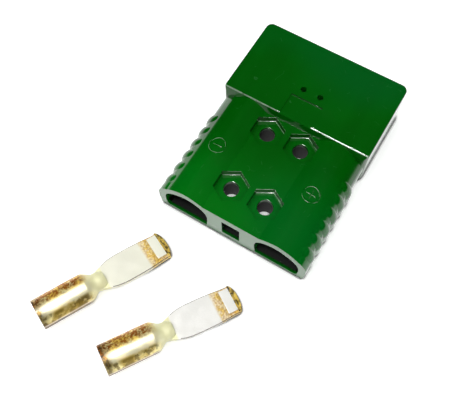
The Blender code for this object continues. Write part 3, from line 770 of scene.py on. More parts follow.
@dataclass(frozen=True)
class GreenPlastic:
    """Deep green, glossy moulded plastic with a few handling marks, painted highlights on edges that face the
    cable end and up, painted shade on the latch recess walls and deep in the openings, and a paler painted
    reflection on the cable end face.
    """

    deep: Colour = (0.0003, 0.094, 0.0016)
    fresh: Colour = (0.0006, 0.175, 0.0060)
    cool: Colour = (0.0008, 0.110, 0.016)
    scuffed: Colour = (0.06, 0.25, 0.08)
    # Painted highlight on the edges that face the cable end and up, and painted shade on the latch recess
    # walls.
    edge_glint: Colour = (0.62, 0.88, 0.64)
    edge_shade: Colour = (0.0006, 0.010, 0.002)
    # Paler green on the cable end face: a painted reflection of the white floor.
    end_face_reflection: Colour = (0.25, 0.40, 0.27)
    gloss: float = 0.10
    worn_gloss: float = 0.145
    # Near black deep in the windows, channel and bolt holes: painted shade.
    inside: Colour = (0.0004, 0.0012, 0.0006)
    lobe_slant: float = 0.75
    lobe_limit: float = 51.5
    sizes: HousingSizes = HousingSizes()
    openings: OpeningSizes = OpeningSizes()

    def unshaded_share(self, bench: Bench, axes: Sequence[Wire]) -> Wire:
        """How open a place is, which sets the painted shade in the openings: 1 outside, falling to 0 deep in
        the windows, channel and bolt holes.

        Each limit lies a little past the opening's own size.

        Args:
            bench: the material's bench.
            axes: a point's X, Y and Z.

        Returns:
            The share.
        """
        s, o = self.sizes, self.openings
        aside, along, high = abs(axes[0]), axes[1], axes[2]
        window = (aside > o.window_inner[0] - 0.1) * (aside < o.window_outer[0] + 0.05)
        window = window * (high < o.window_crown[1] + 0.06) * (along < s.cable_end + o.window_depth + 0.2)
        window = window * (high + aside * self.lobe_slant < self.lobe_limit)
        channel = (aside < o.channel_half_width + 0.05) * (along < s.front - s.mouth_depth - 0.1)
        channel = channel * (high > o.channel_low - 0.1) * (high < o.channel_high + 0.1)
        hidden = window.larger(channel) * along.ramp((s.cable_end + 0.2, s.cable_end + 2.6))
        near, far = o.bolt_rows
        row = abs(along - (s.cable_end + (near + far) / 2))
        fold = bench.wire("ShaderNodeCombineXYZ", {"X": aside, "Y": row})
        ends = {0: fold, 1: (o.bolt_half_spacing, (far - near) / 2, 0.0)}
        axis = bench.wire("ShaderNodeVectorMath", ends, "Value", operation="DISTANCE")
        floor = s.panel[1] - o.hex_depth
        hole = (axis < o.bolt_radius + 0.15) * high.ramp((floor - 3.9, floor - 0.2), FALLING)
        return 1.0 - hidden.larger(hole)

    def material(self) -> bpy.types.Material:
        """Build the material.

        Returns:
            The material.
        """
        bench = MaterialBench("green_plastic")
        place = bench.object_place()
        axes = bench.axes(place)
        along = axes[1]
        clouds = bench.mottled(place, scale=22.0, low=0.35, high=0.7, detail=2.0)
        streaks = bench.mottled(bench.stretched(place, (90.0, 14.0, 40.0)), scale=1.0, low=0.45, high=0.75)
        near_end = along.ramp((-68.0, -5.0), (0.95, 0.0))
        share = (clouds * 0.22 + streaks * 0.10 + near_end).smaller(1.0)
        colour = bench.mixed(share, self.deep, self.fresh)
        far = bench.mottled(place, scale=13.0, low=0.45, high=0.75, detail=1.0)
        colour = bench.mixed(far * 0.6, colour, self.cool)
        marks = bench.scuffed(place, scale=60.0, width=0.006, amount=0.30)
        colour = bench.mixed(marks * 0.22, colour, self.scuffed)
        # Painted reflection of the white floor on the cable end face.
        end = along.ramp((-63.98, -63.85), (0.55, 0.0))
        colour = bench.mixed(end, colour, self.end_face_reflection)
        # Painted highlights where the edge share is above zero, broken up by a noise, and painted shade where
        # it is below zero.
        edge = bench.attribute("painted_edge_light")
        breaks = bench.mottled(place, scale=320.0, low=0.25, high=0.55)
        colour = bench.mixed(edge.larger(0.0) * breaks, colour, self.edge_glint)
        colour = bench.mixed((edge * -1.0).larger(0.0), colour, self.edge_shade)
        # Painted shade deep in the windows, channel and bolt holes.
        unshaded_share = self.unshaded_share(bench, axes)
        colour = bench.mixed(unshaded_share, self.inside, colour)
        haze = bench.mottled(place, scale=55.0, low=0.5, high=0.8)
        rough = haze.ramp((0.0, 1.0), (self.gloss, self.worn_gloss))
        dull = along.ramp((-55.5, -55.0), (0.25, 0.8)) * (1.0 - unshaded_share)
        inputs = {"Base Color": colour, "Roughness": rough.larger(dull), "IOR": 1.5}
        relief = bench.noise(place, scale=900.0, detail=2.0) - marks
        return bench.finished(inputs, relief, strength=0.03, depth=0.2)


@dataclass(frozen=True)
class PlatedMetal:
    """Bright plated contact metal: a tarnished yellow barrel and a pale satin blade, with painted light: a
    highlight along the barrel's top, a floor reflection on its lower flank, shade on its lower side and dark
    shade lines on the blade's rounded edges.

    It reads the laid_place attribute, which is a point's place on the contact itself, in metres.
    """

    name: str
    seed_shift: float
    blade: Colour
    gold: Colour = (0.97, 0.68, 0.10)
    pale_gold: Colour = (1.0, 0.98, 0.58)
    # Painted highlight along the barrel's top.
    painted_highlight: Colour = (0.99, 0.98, 0.82)
    rust: Colour = (0.42, 0.13, 0.006)
    olive: Colour = (0.17, 0.11, 0.012)
    # Dark tarnish at the open end and on the lip, and also the painted shade on the barrel's lower side.
    dark: Colour = (0.05, 0.03, 0.012)
    ochre: Colour = (0.90, 0.64, 0.10)
    # Painted reflection of the white floor on the barrel's lower flank.
    floor_reflection: Colour = (0.95, 0.84, 0.72)
    # Painted shade line on the blade's rounded edges.
    line: Colour = (0.07, 0.05, 0.025)

    def material(self) -> bpy.types.Material:
        """Build the material.

        Returns:
            The material.
        """
        bench = MaterialBench(self.name)
        laid = bench.attribute("laid_place", "Vector")
        across, along, high = bench.axes(laid)
        place = bench.wire("ShaderNodeMapping", {"Vector": laid, "Location": (self.seed_shift, 0.0, 0.0)})
        grit = bench.mottled(place, scale=900.0, low=0.40, high=0.60, detail=4.0)
        spots = bench.mottled(place, scale=380.0, low=0.44, high=0.58, detail=5.0)
        patches = bench.mottled(place, scale=140.0, low=0.38, high=0.66, detail=4.0)
        barrel = along.ramp((26.0, 35.0), FALLING)
        neck = along.ramp((40.0, 41.5), FALLING)
        open_end = along.ramp((0.4, 7.5), FALLING)
        lip = along.ramp((76.8, 77.1))
        tip = along.ramp((65.5, 67.8)) * (1.0 - (high > 3.1))
        left_flank = across.ramp((-4.0, 1.0), FALLING)
        right_flank = across.ramp((4.6, 6.2))
        # Painted highlight band along the barrel's top.
        crown = across.ramp((-2.0, 0.8)) * across.ramp((4.2, 6.2), FALLING)
        # Painted floor reflection on the barrel's lower flank.
        floor_reflection_share = high.ramp((1.0, 3.0), FALLING) * barrel
        # Painted shade along the barrel's lower side.
        underside_shade = high.ramp((0.8, 1.6), (0.97, 0.0)) * high.ramp((-5.5, -3.4))

        left_stain = (grit + spots) * 0.8 * left_flank
        right_stain = spots.larger(patches) * right_flank * 0.88
        rim = open_end * (patches + 0.6)
        tarnish = (left_stain.larger(right_stain) * barrel).larger(rim).smaller(1.0)

        stain = bench.mixed(across.ramp((-4.0, 4.0)), self.rust, self.olive)
        stain = bench.mixed(open_end * grit, stain, self.dark)
        gold = bench.mixed(patches.ramp((0.0, 1.0), (0.4, 1.0)), self.pale_gold, self.gold)
        # Painted highlight along the barrel's top.
        shell = bench.mixed(crown * 0.6, gold, self.painted_highlight)
        shell = bench.mixed(tarnish, shell, stain)
        # Painted floor reflection on the lower flank.
        shell = bench.mixed(floor_reflection_share * 0.8, shell, self.floor_reflection)
        # Painted shade along the barrel's lower side.
        shell = bench.mixed(underside_shade, shell, bench.mixed(patches, self.dark, self.olive))
        colour = bench.mixed(neck, self.blade, bench.mixed(barrel, self.pale_gold, shell))
        colour = bench.mixed((spots * 0.4 + 0.55) * tip, colour, self.ochre)
        colour = bench.mixed(grit * tip * 0.45, colour, self.rust)
        lip_colour = bench.mixed(spots, self.ochre, bench.mixed(grit, self.olive, self.dark))
        colour = bench.mixed(lip * 0.92, colour, lip_colour)
        # Painted shade lines on the blade's rounded edges.
        colour = bench.mixed(bench.attribute("edge_shade_line") * 0.9, colour, self.line)

        metal = neck.ramp((0.0, 1.0), (0.05, 0.03)).larger(barrel * 0.5).larger(lip * 0.6)
        rough = patches.ramp((0.0, 1.0), (0.30, 0.40))
        scratch = bench.scuffed(place, scale=160.0, width=0.02, amount=0.5)
        grain = bench.stretched(laid, (3200.0, 240.0, 3200.0))
        brushed = bench.noise(grain, scale=1.0, detail=2.0)
        inputs = {"Base Color": colour, "Roughness": rough, "Metallic": metal}
        return bench.finished(inputs, spots * 0.6 + brushed - scratch, strength=0.12, depth=0.2)


@dataclass(frozen=True)
class SpringSteel:
    """Brushed spring steel."""

    steel: Colour = (0.52, 0.53, 0.55)
    dull: Colour = (0.33, 0.33, 0.34)

    def material(self) -> bpy.types.Material:
        """Build the material.

        Returns:
            The material.
        """
        bench = MaterialBench("spring_steel")
        grain = bench.stretched(bench.object_place(), (4000.0, 160.0, 900.0))
        brushed = bench.noise(grain, scale=1.0, detail=3.0)
        colour = bench.mixed(brushed, self.steel, self.dull)
        rough = brushed.ramp((0.3, 0.7), (0.26, 0.42))
        inputs = {"Base Color": colour, "Roughness": rough, "Metallic": 1.0}
        return bench.finished(inputs, brushed, strength=0.1, depth=0.1)


# ---- Repeated features, as Geometry Nodes


def end_tree(bench: Bench, points: Wire, shape: Wire, finish: Wire) -> bpy.types.NodeTree:
    """Put a copy of a shape on each point, as real faces with one material.

    Args:
        bench: the tree's bench.
        points: where the copies go.
        shape: what is copied.
        finish: the material.

    Returns:
        The tree.
    """
    copies = bench.wire("GeometryNodeInstanceOnPoints", {"Points": points, "Instance": shape})
    real = bench.wire("GeometryNodeRealizeInstances", {0: copies})
    painted = bench.wire("GeometryNodeSetMaterial", {"Geometry": real, "Material": finish})
    bench.add("NodeGroupOutput", {0: painted})
    bench.tree.is_modifier = True
    return bench.tree


def rib_row_tree() -> bpy.types.NodeTree:
    """Ribs in a row along Y, on both sides: each rib has a copy that is turned half round.

    Returns:
        The tree.
    """
    kinds = {"Rib": "Geometry", "Count": "Int", "First": "Vector", "Pitch": "Vector", "Finish": "Material"}
    bench, given = open_tree("GeometryNodeTree", "rib_row", kinds, "Geometry")
    half_turn = {"Geometry": given["Rib"], "Rotation": (0.0, 0.0, math.pi)}
    turned = bench.wire("GeometryNodeTransform", half_turn)
    both = bench.add("GeometryNodeJoinGeometry")
    for part in (given["Rib"], turned):
        bench.tree.links.new(part.socket, both.inputs[0])
    line = {"Count": given["Count"], "Start Location": given["First"], "Offset": given["Pitch"]}
    row = bench.wire("GeometryNodeMeshLine", line)
    return end_tree(bench, row, Wire(bench, both.outputs[0]), given["Finish"])


def pattern_tree() -> bpy.types.NodeTree:
    """A rectangular pattern of copies round a centre, for holes and pockets.

    Returns:
        The tree.
    """
    kinds = {"Shape": "Geometry", "Across": "Float", "Along": "Float", "Rows": "Int"}
    kinds |= {"Centre": "Vector", "Finish": "Material"}
    bench, given = open_tree("GeometryNodeTree", "hole_pattern", kinds, "Geometry")
    size = {"Size X": given["Across"], "Size Y": given["Along"], "Vertices X": 2, "Vertices Y": given["Rows"]}
    grid = bench.wire("GeometryNodeMeshGrid", size)
    moved = bench.wire("GeometryNodeTransform", {"Geometry": grid, "Translation": given["Centre"]})
    return end_tree(bench, moved, given["Shape"], given["Finish"])


def repeated(name: str, shape: bpy.types.Mesh, tree: bpy.types.NodeTree, values: dict) -> bpy.types.Mesh:
    """Run a repeat tree on a shape.

    Args:
        name: the result's name.
        shape: the mesh that is repeated.
        tree: the Geometry Nodes tree.
        values: the tree's inputs by name.

    Returns:
        A plain mesh that holds every copy.
    """
    holder = bpy.data.objects.new(name, shape)
    nodes = holder.modifiers.new(name, "NODES")
    nodes.node_group = tree
    for item in tree.interface.items_tree:
        if item.item_type == "SOCKET" and item.in_out == "INPUT" and item.name in values:
            nodes[item.identifier] = values[item.name]
    mesh = evaluated(holder)
    mesh.name = name
    return mesh


# ---- Housing


def between(start: Point, end: Point, across: float, up: float) -> Knot:
    """A smooth knot part of the way across and part of the way up between two points."""
    return (start[0] + (end[0] - start[0]) * across, start[1] + (end[1] - start[1]) * up, True)


@dataclass(frozen=True)
class Housing:
    """The green moulding with its ribs, hood, windows and pockets."""

    sizes: HousingSizes = HousingSizes()
    ribs: RibSizes = RibSizes()
    openings: OpeningSizes = OpeningSizes()
    fillets: Fillets = Fillets()
    edge_lights: EdgeLightShares = EdgeLightShares()
    resolution: int = 12
    rib_steps: int = 20
    hole_sides: int = 64
    arc_steps: int = 6
    small_sides: int = 32
    rim_reach: float = 3.0
    rim_start: float = 4.0
    margin: float = 0.1
    hood_steps: int = 5

    def body_outline(self) -> list[Point]:
        """Cross-section of the rear body: two lobes with a sunk panel between them.

        Returns:
            The points in order, in millimetres.
        """
        s = self.sizes
        foot = (s.foot_x, 0.0)
        side = (s.side_x, s.side_height)
        right = [
            (*foot, False),
            between(foot, side, 0.35, 0.13),
            between(foot, side, 0.76, 0.45),
            (*side, True),
            between(side, s.shoulder, 0.11, 0.52),
            between(side, s.shoulder, 0.39, 0.74),
            (*s.shoulder, True),
            between(s.shoulder, s.crown, 0.33, 0.56),
            between(s.shoulder, s.crown, 0.68, 0.88),
            (*s.crown, True),
            between(s.crown, s.panel, 0.43, 0.28),
            between(s.crown, s.panel, 0.77, 0.67),
            (*s.panel, False),
        ]
        left = [(-x, z, smooth) for x, z, smooth in reversed(right)]
        return smooth_outline(right + left, self.resolution)

    def window_outline(self, side: int) -> list[Point]:
        """Arched outline of a cable window.

        Args:
            side: 1 for the window at +X and -1 for the one at -X.

        Returns:
            The points in order, in millimetres.
        """
        o = self.openings
        knots = [
            (o.window_inner[0], o.window_floor, False),
            (o.window_outer[0] - o.window_corner, o.window_floor, False),
            (o.window_outer[0], o.window_floor + o.window_corner, False),
            (*o.window_outer, True),
            between(o.window_outer, o.window_crown, 0.17, 0.44),
            between(o.window_outer, o.window_crown, 0.52, 0.79),
            (*o.window_crown, True),
            between(o.window_crown, o.window_inner, 0.52, 0.2),
            between(o.window_crown, o.window_inner, 0.87, 0.63),
            (*o.window_inner, True),
        ]
        return smooth_outline([(side * x, z, smooth) for x, z, smooth in knots], self.resolution)

    def side_sweep(self, name: str, section: Sequence[Point]) -> bpy.types.Mesh:
        """Sweep a section up the +X side wall and over the shoulder, centred on Y = 0.

        Args:
            name: the mesh's name.
            section: (out, along) points in millimetres, where out is zero on a rib's crest.

        Returns:
            The closed sweep, in metres.
        """
        s, r = self.sizes, self.ribs
        profile = bpy.data.curves.new(name + "_section", "CURVE")
        profile.dimensions = "2D"
        spline = profile.splines.new("POLY")
        spline.points.add(len(section) - 1)
        spline.use_cyclic_u = True
        for knot, (out, along) in zip(spline.points, section):
            knot.co = (out * MM, along * MM, 0.0, 1.0)
        holder = bpy.data.objects.new(name + "_section", profile)
        bpy.context.scene.collection.objects.link(holder)
        crest = s.side_x + r.stand_out
        lean = r.shoulder_stand_out * math.sqrt(0.5)
        shoulder_x, shoulder_z = s.shoulder
        path = (
            (crest - r.foot_lean, r.foot_height),
            (crest, s.side_height),
            (crest - r.upper_lean, (s.side_height + shoulder_z) / 2),
            (shoulder_x + lean, shoulder_z + lean),
            (shoulder_x - r.top_inset, shoulder_z + r.top_rise),
        )
        curve = bpy.data.curves.new(name, "CURVE")
        curve.dimensions = "2D"
        curve.fill_mode = "NONE"
        curve.bevel_mode = "OBJECT"
        curve.bevel_object = holder
        curve.use_fill_caps = True
        curve.resolution_u = self.resolution
        spline = curve.splines.new("BEZIER")
        spline.bezier_points.add(len(path) - 1)
        for knot, (x, z) in zip(spline.bezier_points, path):
            knot.co = (x * MM, z * MM, 0.0)
            knot.handle_left_type = "AUTO"
            knot.handle_right_type = "AUTO"
        sweep = bpy.data.objects.new(name, curve)
        sweep.matrix_world = OUTLINE_IN_XZ
        mesh = evaluated(sweep)
        bpy.data.objects.remove(holder, do_unlink=True)
        return face_outward(mesh)

    def rib_mesh(self) -> bpy.types.Mesh:
        """One rib: a shallow arc outside and a flat back inside the wall.

        Returns:
            The closed mesh, in metres.
        """
        r = self.ribs
        half = r.pitch / 2 + r.overlap
        places = [half * (2.0 * step / self.rib_steps - 1.0) for step in range(self.rib_steps + 1)]
        section = [(math.sqrt(r.radius**2 - along**2) - r.radius, along) for along in places]
        section += [(-r.back_depth, half), (-r.back_depth, -half)]
        return self.side_sweep("rib", section)

    def band_mesh(self) -> bpy.types.Mesh:
        """The plain band that stands out at the cable end.

        Returns:
            The closed mesh, in metres.
        """
        r = self.ribs
        half = r.band_length / 2
        out = r.band_stand_out - r.stand_out
        back, end = -r.back_depth, -half - CUT_MARGIN
        return self.side_sweep("band", [(out, end), (out, half), (back, half), (back, end)])

    def hood_mesh(self) -> bpy.types.Mesh:
        """The raised hood with rounded corners, softened edges and a sloped rear edge.

        Returns:
            The closed mesh, in metres.
        """
        s = self.sizes
        middle = (s.front + s.hood_rear) / 2
        half = (s.front - s.hood_rear) / 2
        front = [p for p in rounded_rectangle(s.hood_half_width, -half, half, s.hood_corner) if p[1] > 0]
        rear = [p for p in rounded_rectangle(s.hood_half_width, -half, half, s.hood_rear_corner) if p[1] < 0]
        outline = [(x, y + middle) for x, y in front + rear]
        block = prism("hood", outline, 0.0, s.hood_height, OUTLINE_IN_XY)
        round_edges(block, sharper_than(SQUARE_ANGLE), s.hood_edge, self.hood_steps)
        low = s.hood_height - s.slope_drop
        high = s.hood_height + CUT_MARGIN
        outside = s.hood_rear - CUT_MARGIN
        lean = math.atan2(s.slope_drop, s.slope_run)
        radius = self.fillets.slope
        centre = (s.hood_rear + s.slope_run + radius * math.tan(lean / 2), s.hood_height - radius)
        ridge = arc(centre, radius, 90.0 + math.degrees(lean), 90.0, self.arc_steps)
        ends = [(centre[0], high), (outside, high)]
        reach = s.hood_half_width + CUT_MARGIN
        outline = [(outside, low), (s.hood_rear, low), *ridge, *ends]
        slope = prism("hood_slope", outline, -reach, reach, OUTLINE_IN_YZ)
        return carved("hood", block, [(Step.CUT, slope)])

    def joined(self, finish: bpy.types.Material) -> list[tuple[Step, bpy.types.Mesh]]:
        """What is joined to the body: band, ribs and hood.

        Args:
            finish: the plastic.

        Returns:
            The steps in order.
        """
        s, r = self.sizes, self.ribs
        steps = []
        rib = self.rib_mesh()
        first = s.cable_end + r.band_length + r.pitch / 2
        tree = rib_row_tree()
        for offset, word in enumerate(("even", "odd")):
            values = {
                "Count": r.count // 2,
                "First": mm(0.0, first + r.pitch * offset, 0.0),
                "Pitch": mm(0.0, r.pitch * 2, 0.0),
                "Finish": finish,
            }
            steps.append((Step.JOIN, repeated("ribs_" + word, rib.copy(), tree, values)))
        place = mm(0.0, s.cable_end + r.band_length / 2, 0.0)
        band = self.band_mesh()
        turned = band.copy()
        turned.transform(Matrix.Diagonal((-1.0, 1.0, 1.0, 1.0)))
        for half in (band, turned):
            half.transform(Matrix.Translation(place))
            steps.insert(0, (Step.JOIN, face_outward(half)))
        return steps + [(Step.JOIN, self.hood_mesh())]

    def end_cuts(self) -> list[tuple[Step, bpy.types.Mesh]]:
        """Windows, chambers and the centre channel, all running along Y.

        Returns:
            The steps in order.
        """
        s, o = self.sizes, self.openings
        reach = s.hood_half_width * 2
        start = s.cable_end - CUT_MARGIN
        window_end = s.cable_end + o.window_depth
        inside = s.front - s.mouth_depth + CUT_MARGIN
        meshes = [box("end_trim", (-reach, start * 2, -reach), (reach, s.cable_end, reach))]
        for side in (1, -1):
            outline = self.window_outline(side)
            meshes.append(prism("window", outline, -window_end, -start, OUTLINE_IN_XZ))
            ring = circle(o.chamber_radius, self.hole_sides, (side * o.chamber_x, o.chamber_z))
            meshes.append(prism("chamber", ring, -inside, -(window_end - CUT_MARGIN), OUTLINE_IN_XZ))
        half, step = o.channel_half_width, o.channel_step
        end = s.cable_end + o.channel_depth
        meshes.append(box("channel_mouth", (-half, start, o.channel_low), (half, end, o.channel_high)))
        low, high = o.channel_low + step, o.channel_high - step
        meshes.append(box("channel", (step - half, end - CUT_MARGIN, low), (half - step, inside, high)))
        return [(Step.CUT, mesh) for mesh in meshes]

    def mouth_cuts(self) -> list[tuple[Step, bpy.types.Mesh]]:
        """The mating mouth with its shelf left standing, and the two spring grooves.

        Returns:
            The steps in order.
        """
        s, o = self.sizes, self.openings
        back = s.front - s.mouth_depth
        outline = rounded_rectangle(s.mouth_half_width, s.mouth_floor, s.mouth_top, s.mouth_corner)
        mouth = prism("mouth", outline, -(s.front + CUT_MARGIN), -back, OUTLINE_IN_XZ)
        low = (-s.shelf_half_width, back - CUT_MARGIN, s.mouth_floor - CUT_MARGIN)
        high = (s.shelf_half_width, back + s.shelf_length, s.shelf_height)
        shelf = box("shelf", low, high)
        round_edges(shelf, sharper_than(SQUARE_ANGLE), self.fillets.end)
        mouth = carved("mouth", mouth, [(Step.CUT, shelf)])
        groove = s.groove_width / 2
        end = back + s.shelf_length - s.groove_end_wall
        cuts = [(Step.CUT, mouth)]
        for side in (1, -1):
            x = side * o.chamber_x
            low = (x - groove, back - CUT_MARGIN, s.groove_floor)
            cuts.append((Step.CUT, box("spring_groove", low, (x + groove, end, s.shelf_height + CUT_MARGIN))))
        return cuts

    def top_cuts(self, finish: bpy.types.Material) -> list[tuple[Step, bpy.types.Mesh]]:
        """Bolt holes with a hexagonal pocket at each end, the latch recess and the two small holes.

        Args:
            finish: the plastic.

        Returns:
            The steps in order.
        """
        s, o = self.sizes, self.openings
        near, far = o.bolt_rows
        panel = s.panel[1]
        pattern = {
            "Across": o.bolt_half_spacing * 2 * MM,
            "Along": (far - near) * MM,
            "Rows": 2,
            "Centre": mm(0.0, s.cable_end + (near + far) / 2, 0.0),
            "Finish": finish,
        }
        tree = pattern_tree()
        corner_radius = o.hex_across_flats / math.sqrt(3.0)
        above = panel + CUT_MARGIN
        shapes = {
            "bolt_holes": round_bar(o.bolt_radius, -CUT_MARGIN, above, self.hole_sides),
            "hex_pockets": round_bar(corner_radius, panel - o.hex_depth, above, 6),
            "hex_pockets_under": round_bar(corner_radius, -CUT_MARGIN, o.hex_depth, 6),
        }
        meshes = [repeated(name, shape, tree, pattern) for name, shape in shapes.items()]
        low, high = s.mouth_top - CUT_MARGIN, s.hood_height + CUT_MARGIN
        small = round_bar(o.small_hole_radius, low, high, self.small_sides)
        row = {
            "Across": o.small_hole_half_spacing * 2 * MM,
            "Along": 0.0,
            "Rows": 1,
            "Centre": mm(0.0, o.small_hole_y, 0.0),
            "Finish": finish,
        }
        low = (-o.latch_half_width, s.hood_rear - CUT_MARGIN, s.hood_height - o.latch_depth)
        high = (o.latch_half_width, s.hood_rear + o.latch_length, s.hood_height + CUT_MARGIN)
        meshes += [box("latch_recess", low, high), repeated("small_holes", small, tree, row)]
        return [(Step.CUT, mesh) for mesh in meshes]

    def pocket_rim(self, far: bool) -> EdgeTest:
        """A test for the upper edges of the pockets, in the near or in the far row.

        Args:
            far: whether the far row is meant. In the near row an edge that ends at X = 0 isn't one.

        Returns:
            The test.
        """
        s = self.sizes
        at_panel = lies_in(2, s.panel[1])
        reach = s.panel[0] + self.rim_reach
        rear, front = s.cable_end + self.rim_start, s.hood_rear - self.margin / 2
        middle = s.cable_end + self.openings.bolt_rows[1] / 2

        def test(edge: bmesh.types.BMEdge) -> bool:
            """Whether both ends lie in the row, and the edge is sharp and in the panel's plane.

            Args:
                edge: the edge.

            Returns:
                Whether it is to be rounded.
            """
            for x, y, _ in [vert.co / MM for vert in edge.verts]:
                if not (abs(x) < reach and rear < y < front and (y > middle) == far):
                    return False
                if abs(x) <= self.margin and not far:
                    return False
            return at_panel(edge)

        return test

    def soften(self, mesh: bpy.types.Mesh) -> None:
        """Give the openings and the cable end their moulded edges.

        Args:
            mesh: the housing's mesh, which is changed.
        """
        s, f = self.sizes, self.fillets
        drop_short_edges(mesh, s.cable_end, f.shortest)
        for chosen, radius, segments in (
            (lies_in(1, s.cable_end), f.end, 3),
            (lies_in(1, s.front), f.end, 3),
            (self.pocket_rim(far=False), f.hex, 3),
            (self.pocket_rim(far=True), f.hex, 3),
            (lies_in(2, s.panel[1] - self.openings.hex_depth), f.hex_floor, 3),
            (lies_in(2, s.hood_height, SQUARE_ANGLE), f.mark, 2),
        ):
            round_edges(mesh, chosen, radius, segments)
        face_outward(mesh)
        # Each face's share of painted edge light.
        note_edge_light(mesh, self.edge_light)

    def edge_light(self, centre: Vector, normal: Vector) -> float:
        """A face's share of painted edge light, where a plus is a painted highlight and a minus painted
        shade.

        Args:
            centre: the face's centre in millimetres.
            normal: its normal.

        Returns:
            A share from -1 to 1.
        """
        s, o, f, shares = self.sizes, self.openings, self.fillets, self.edge_lights
        x, y, z = centre
        before_hood = s.hood_rear - self.margin
        recess_end = s.hood_rear + o.latch_length + 1.0
        in_recess = abs(x) < o.latch_half_width + 0.6 and before_hood < y < recess_end
        # Painted shade on the latch recess walls.
        if in_recess and s.hood_height - o.latch_depth < z < s.hood_height and abs(normal.z) < 0.5:
            return shares.recess
        # Painted highlights only on faces that look up and towards the cable end.
        if normal.z <= shares.facing or normal.y >= -shares.facing:
            return 0.0
        if y < s.cable_end + f.end:
            return shares.cable_rim_glint
        if abs(x) < s.panel[0] + 2.0 and y < before_hood:
            panel = s.panel[1]
            floor = panel - o.hex_depth
            at_edge = panel - f.hex < z < panel or floor < z < floor + f.hex_floor
            if normal.x <= shares.turned_left or not at_edge:
                return 0.0
            near = y < s.cable_end + o.bolt_rows[0] + o.hex_across_flats
            return shares.near_pocket_glint if near and x > 0.0 else shares.pocket
        # Painted highlight along the hood's rear edge, strongest at the right corner.
        if s.hood_rear < y < s.hood_rear + s.slope_run + f.slope and z > s.hood_height - 0.6:
            if x > s.shoulder[0] - s.panel[0]:
                return shares.hood_corner
            return shares.hood_right_glint if x > 0.0 else shares.hood_left_glint
        return 0.0

    def build(self, finish: bpy.types.Material) -> bpy.types.Object:
        """Mould the housing and put it in the place of its plain solid.

        Args:
            finish: the plastic.

        Returns:
            The finished piece.
        """
        s = self.sizes
        start = s.cable_end - CUT_MARGIN / 2
        body = prism("body", self.body_outline(), -(s.hood_rear + s.body_into_hood), -start, OUTLINE_IN_XZ)
        steps = self.joined(finish) + self.end_cuts() + self.mouth_cuts() + self.top_cuts(finish)
        mesh = carved("housing_shell", body, steps)
        self.soften(mesh)
        piece = finished_piece("housing_shell", mesh, finish)
        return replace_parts(piece, "housing")


@dataclass(frozen=True)
class PoleMark:
    """A raised ring on a lobe with the sign of its pole in it, all in millimetres."""

    pole: Pole
    x: float = 30.5
    y: float = -27.2
    ring_radius: float = 5.3
    line_width: float = 0.8
    raise_height: float = 0.28
    sunk: float = 0.2
    sign_reach: float = 2.9
    chamfer: float = 0.15
    steps: int = 72
    # Share of painted highlight on the mark's upper edges that face the cable end.
    edge_light: float = EdgeLightShares.sign
    above: float = 0.1

    def ring(self) -> bpy.types.Mesh:
        """The ring, lying flat at Z = 0.

        Returns:
            The closed mesh, in metres.
        """
        inner = self.ring_radius - self.line_width
        rows = (
            (self.ring_radius, -self.sunk),
            (self.ring_radius, self.raise_height - self.chamfer),
            (self.ring_radius - self.chamfer, self.raise_height),
            (inner + self.chamfer, self.raise_height),
            (inner, self.raise_height - self.chamfer),
            (inner, -self.sunk),
        )
        rings = [[mm(x, y, z) for x, y in circle(radius, self.steps)] for radius, z in rows]
        return lofted("ring", rings, closed=True)

    def bar(self, turned: bool) -> bpy.types.Mesh:
        """One bar of the sign, along X or along Y.

        Args:
            turned: whether it runs along Y.

        Returns:
            The closed mesh, in metres.
        """
        half = self.line_width / 2
        count = self.steps // 6
        places = [self.sign_reach * (2 * index / count - 1) for index in range(count + 1)]
        low, edge, top = -self.sunk, self.raise_height - self.chamfer, self.raise_height
        inner = half - self.chamfer
        section = ((-half, low), (half, low), (half, edge), (inner, top), (-inner, top), (-half, edge))
        rings = [[mm(y, x, z) if turned else mm(x, y, z) for y, z in section] for x in places]
        return lofted("bar", rings)

    def build(self, ground: BVHTree, finish: bpy.types.Material) -> bpy.types.Object:
        """Lay the mark on the lobe.

        Args:
            ground: the housing's surface.
            finish: the plastic.

        Returns:
            The finished piece.
        """
        shapes = [self.ring(), self.bar(turned=False)]
        if self.pole is Pole.PLUS:
            shapes.append(self.bar(turned=True))
        mesh = carved("mark", shapes[1], [(Step.JOIN, shape) for shape in shapes[:1] + shapes[2:]])
        for vert in mesh.vertices:
            place = vert.co + mm(self.pole.value * self.x, self.y, 0.0)
            hit = ground.ray_cast(Vector((place.x, place.y, self.above)), Vector((0.0, 0.0, -1.0)))[0]
            vert.co = Vector((place.x, place.y, hit.z + vert.co.z))
        note_edge_light(mesh, self.edge_glint)
        return finished_piece("pole_mark_" + self.pole.name.lower(), mesh, finish)

    def edge_glint(self, _centre: Vector, normal: Vector) -> float:
        """A face's share of painted highlight: the upper edges that look towards the cable end get one."""
        return self.edge_light if 0.3 < normal.z < 0.93 and normal.y < -0.2 else 0.0


# ---- Contacts


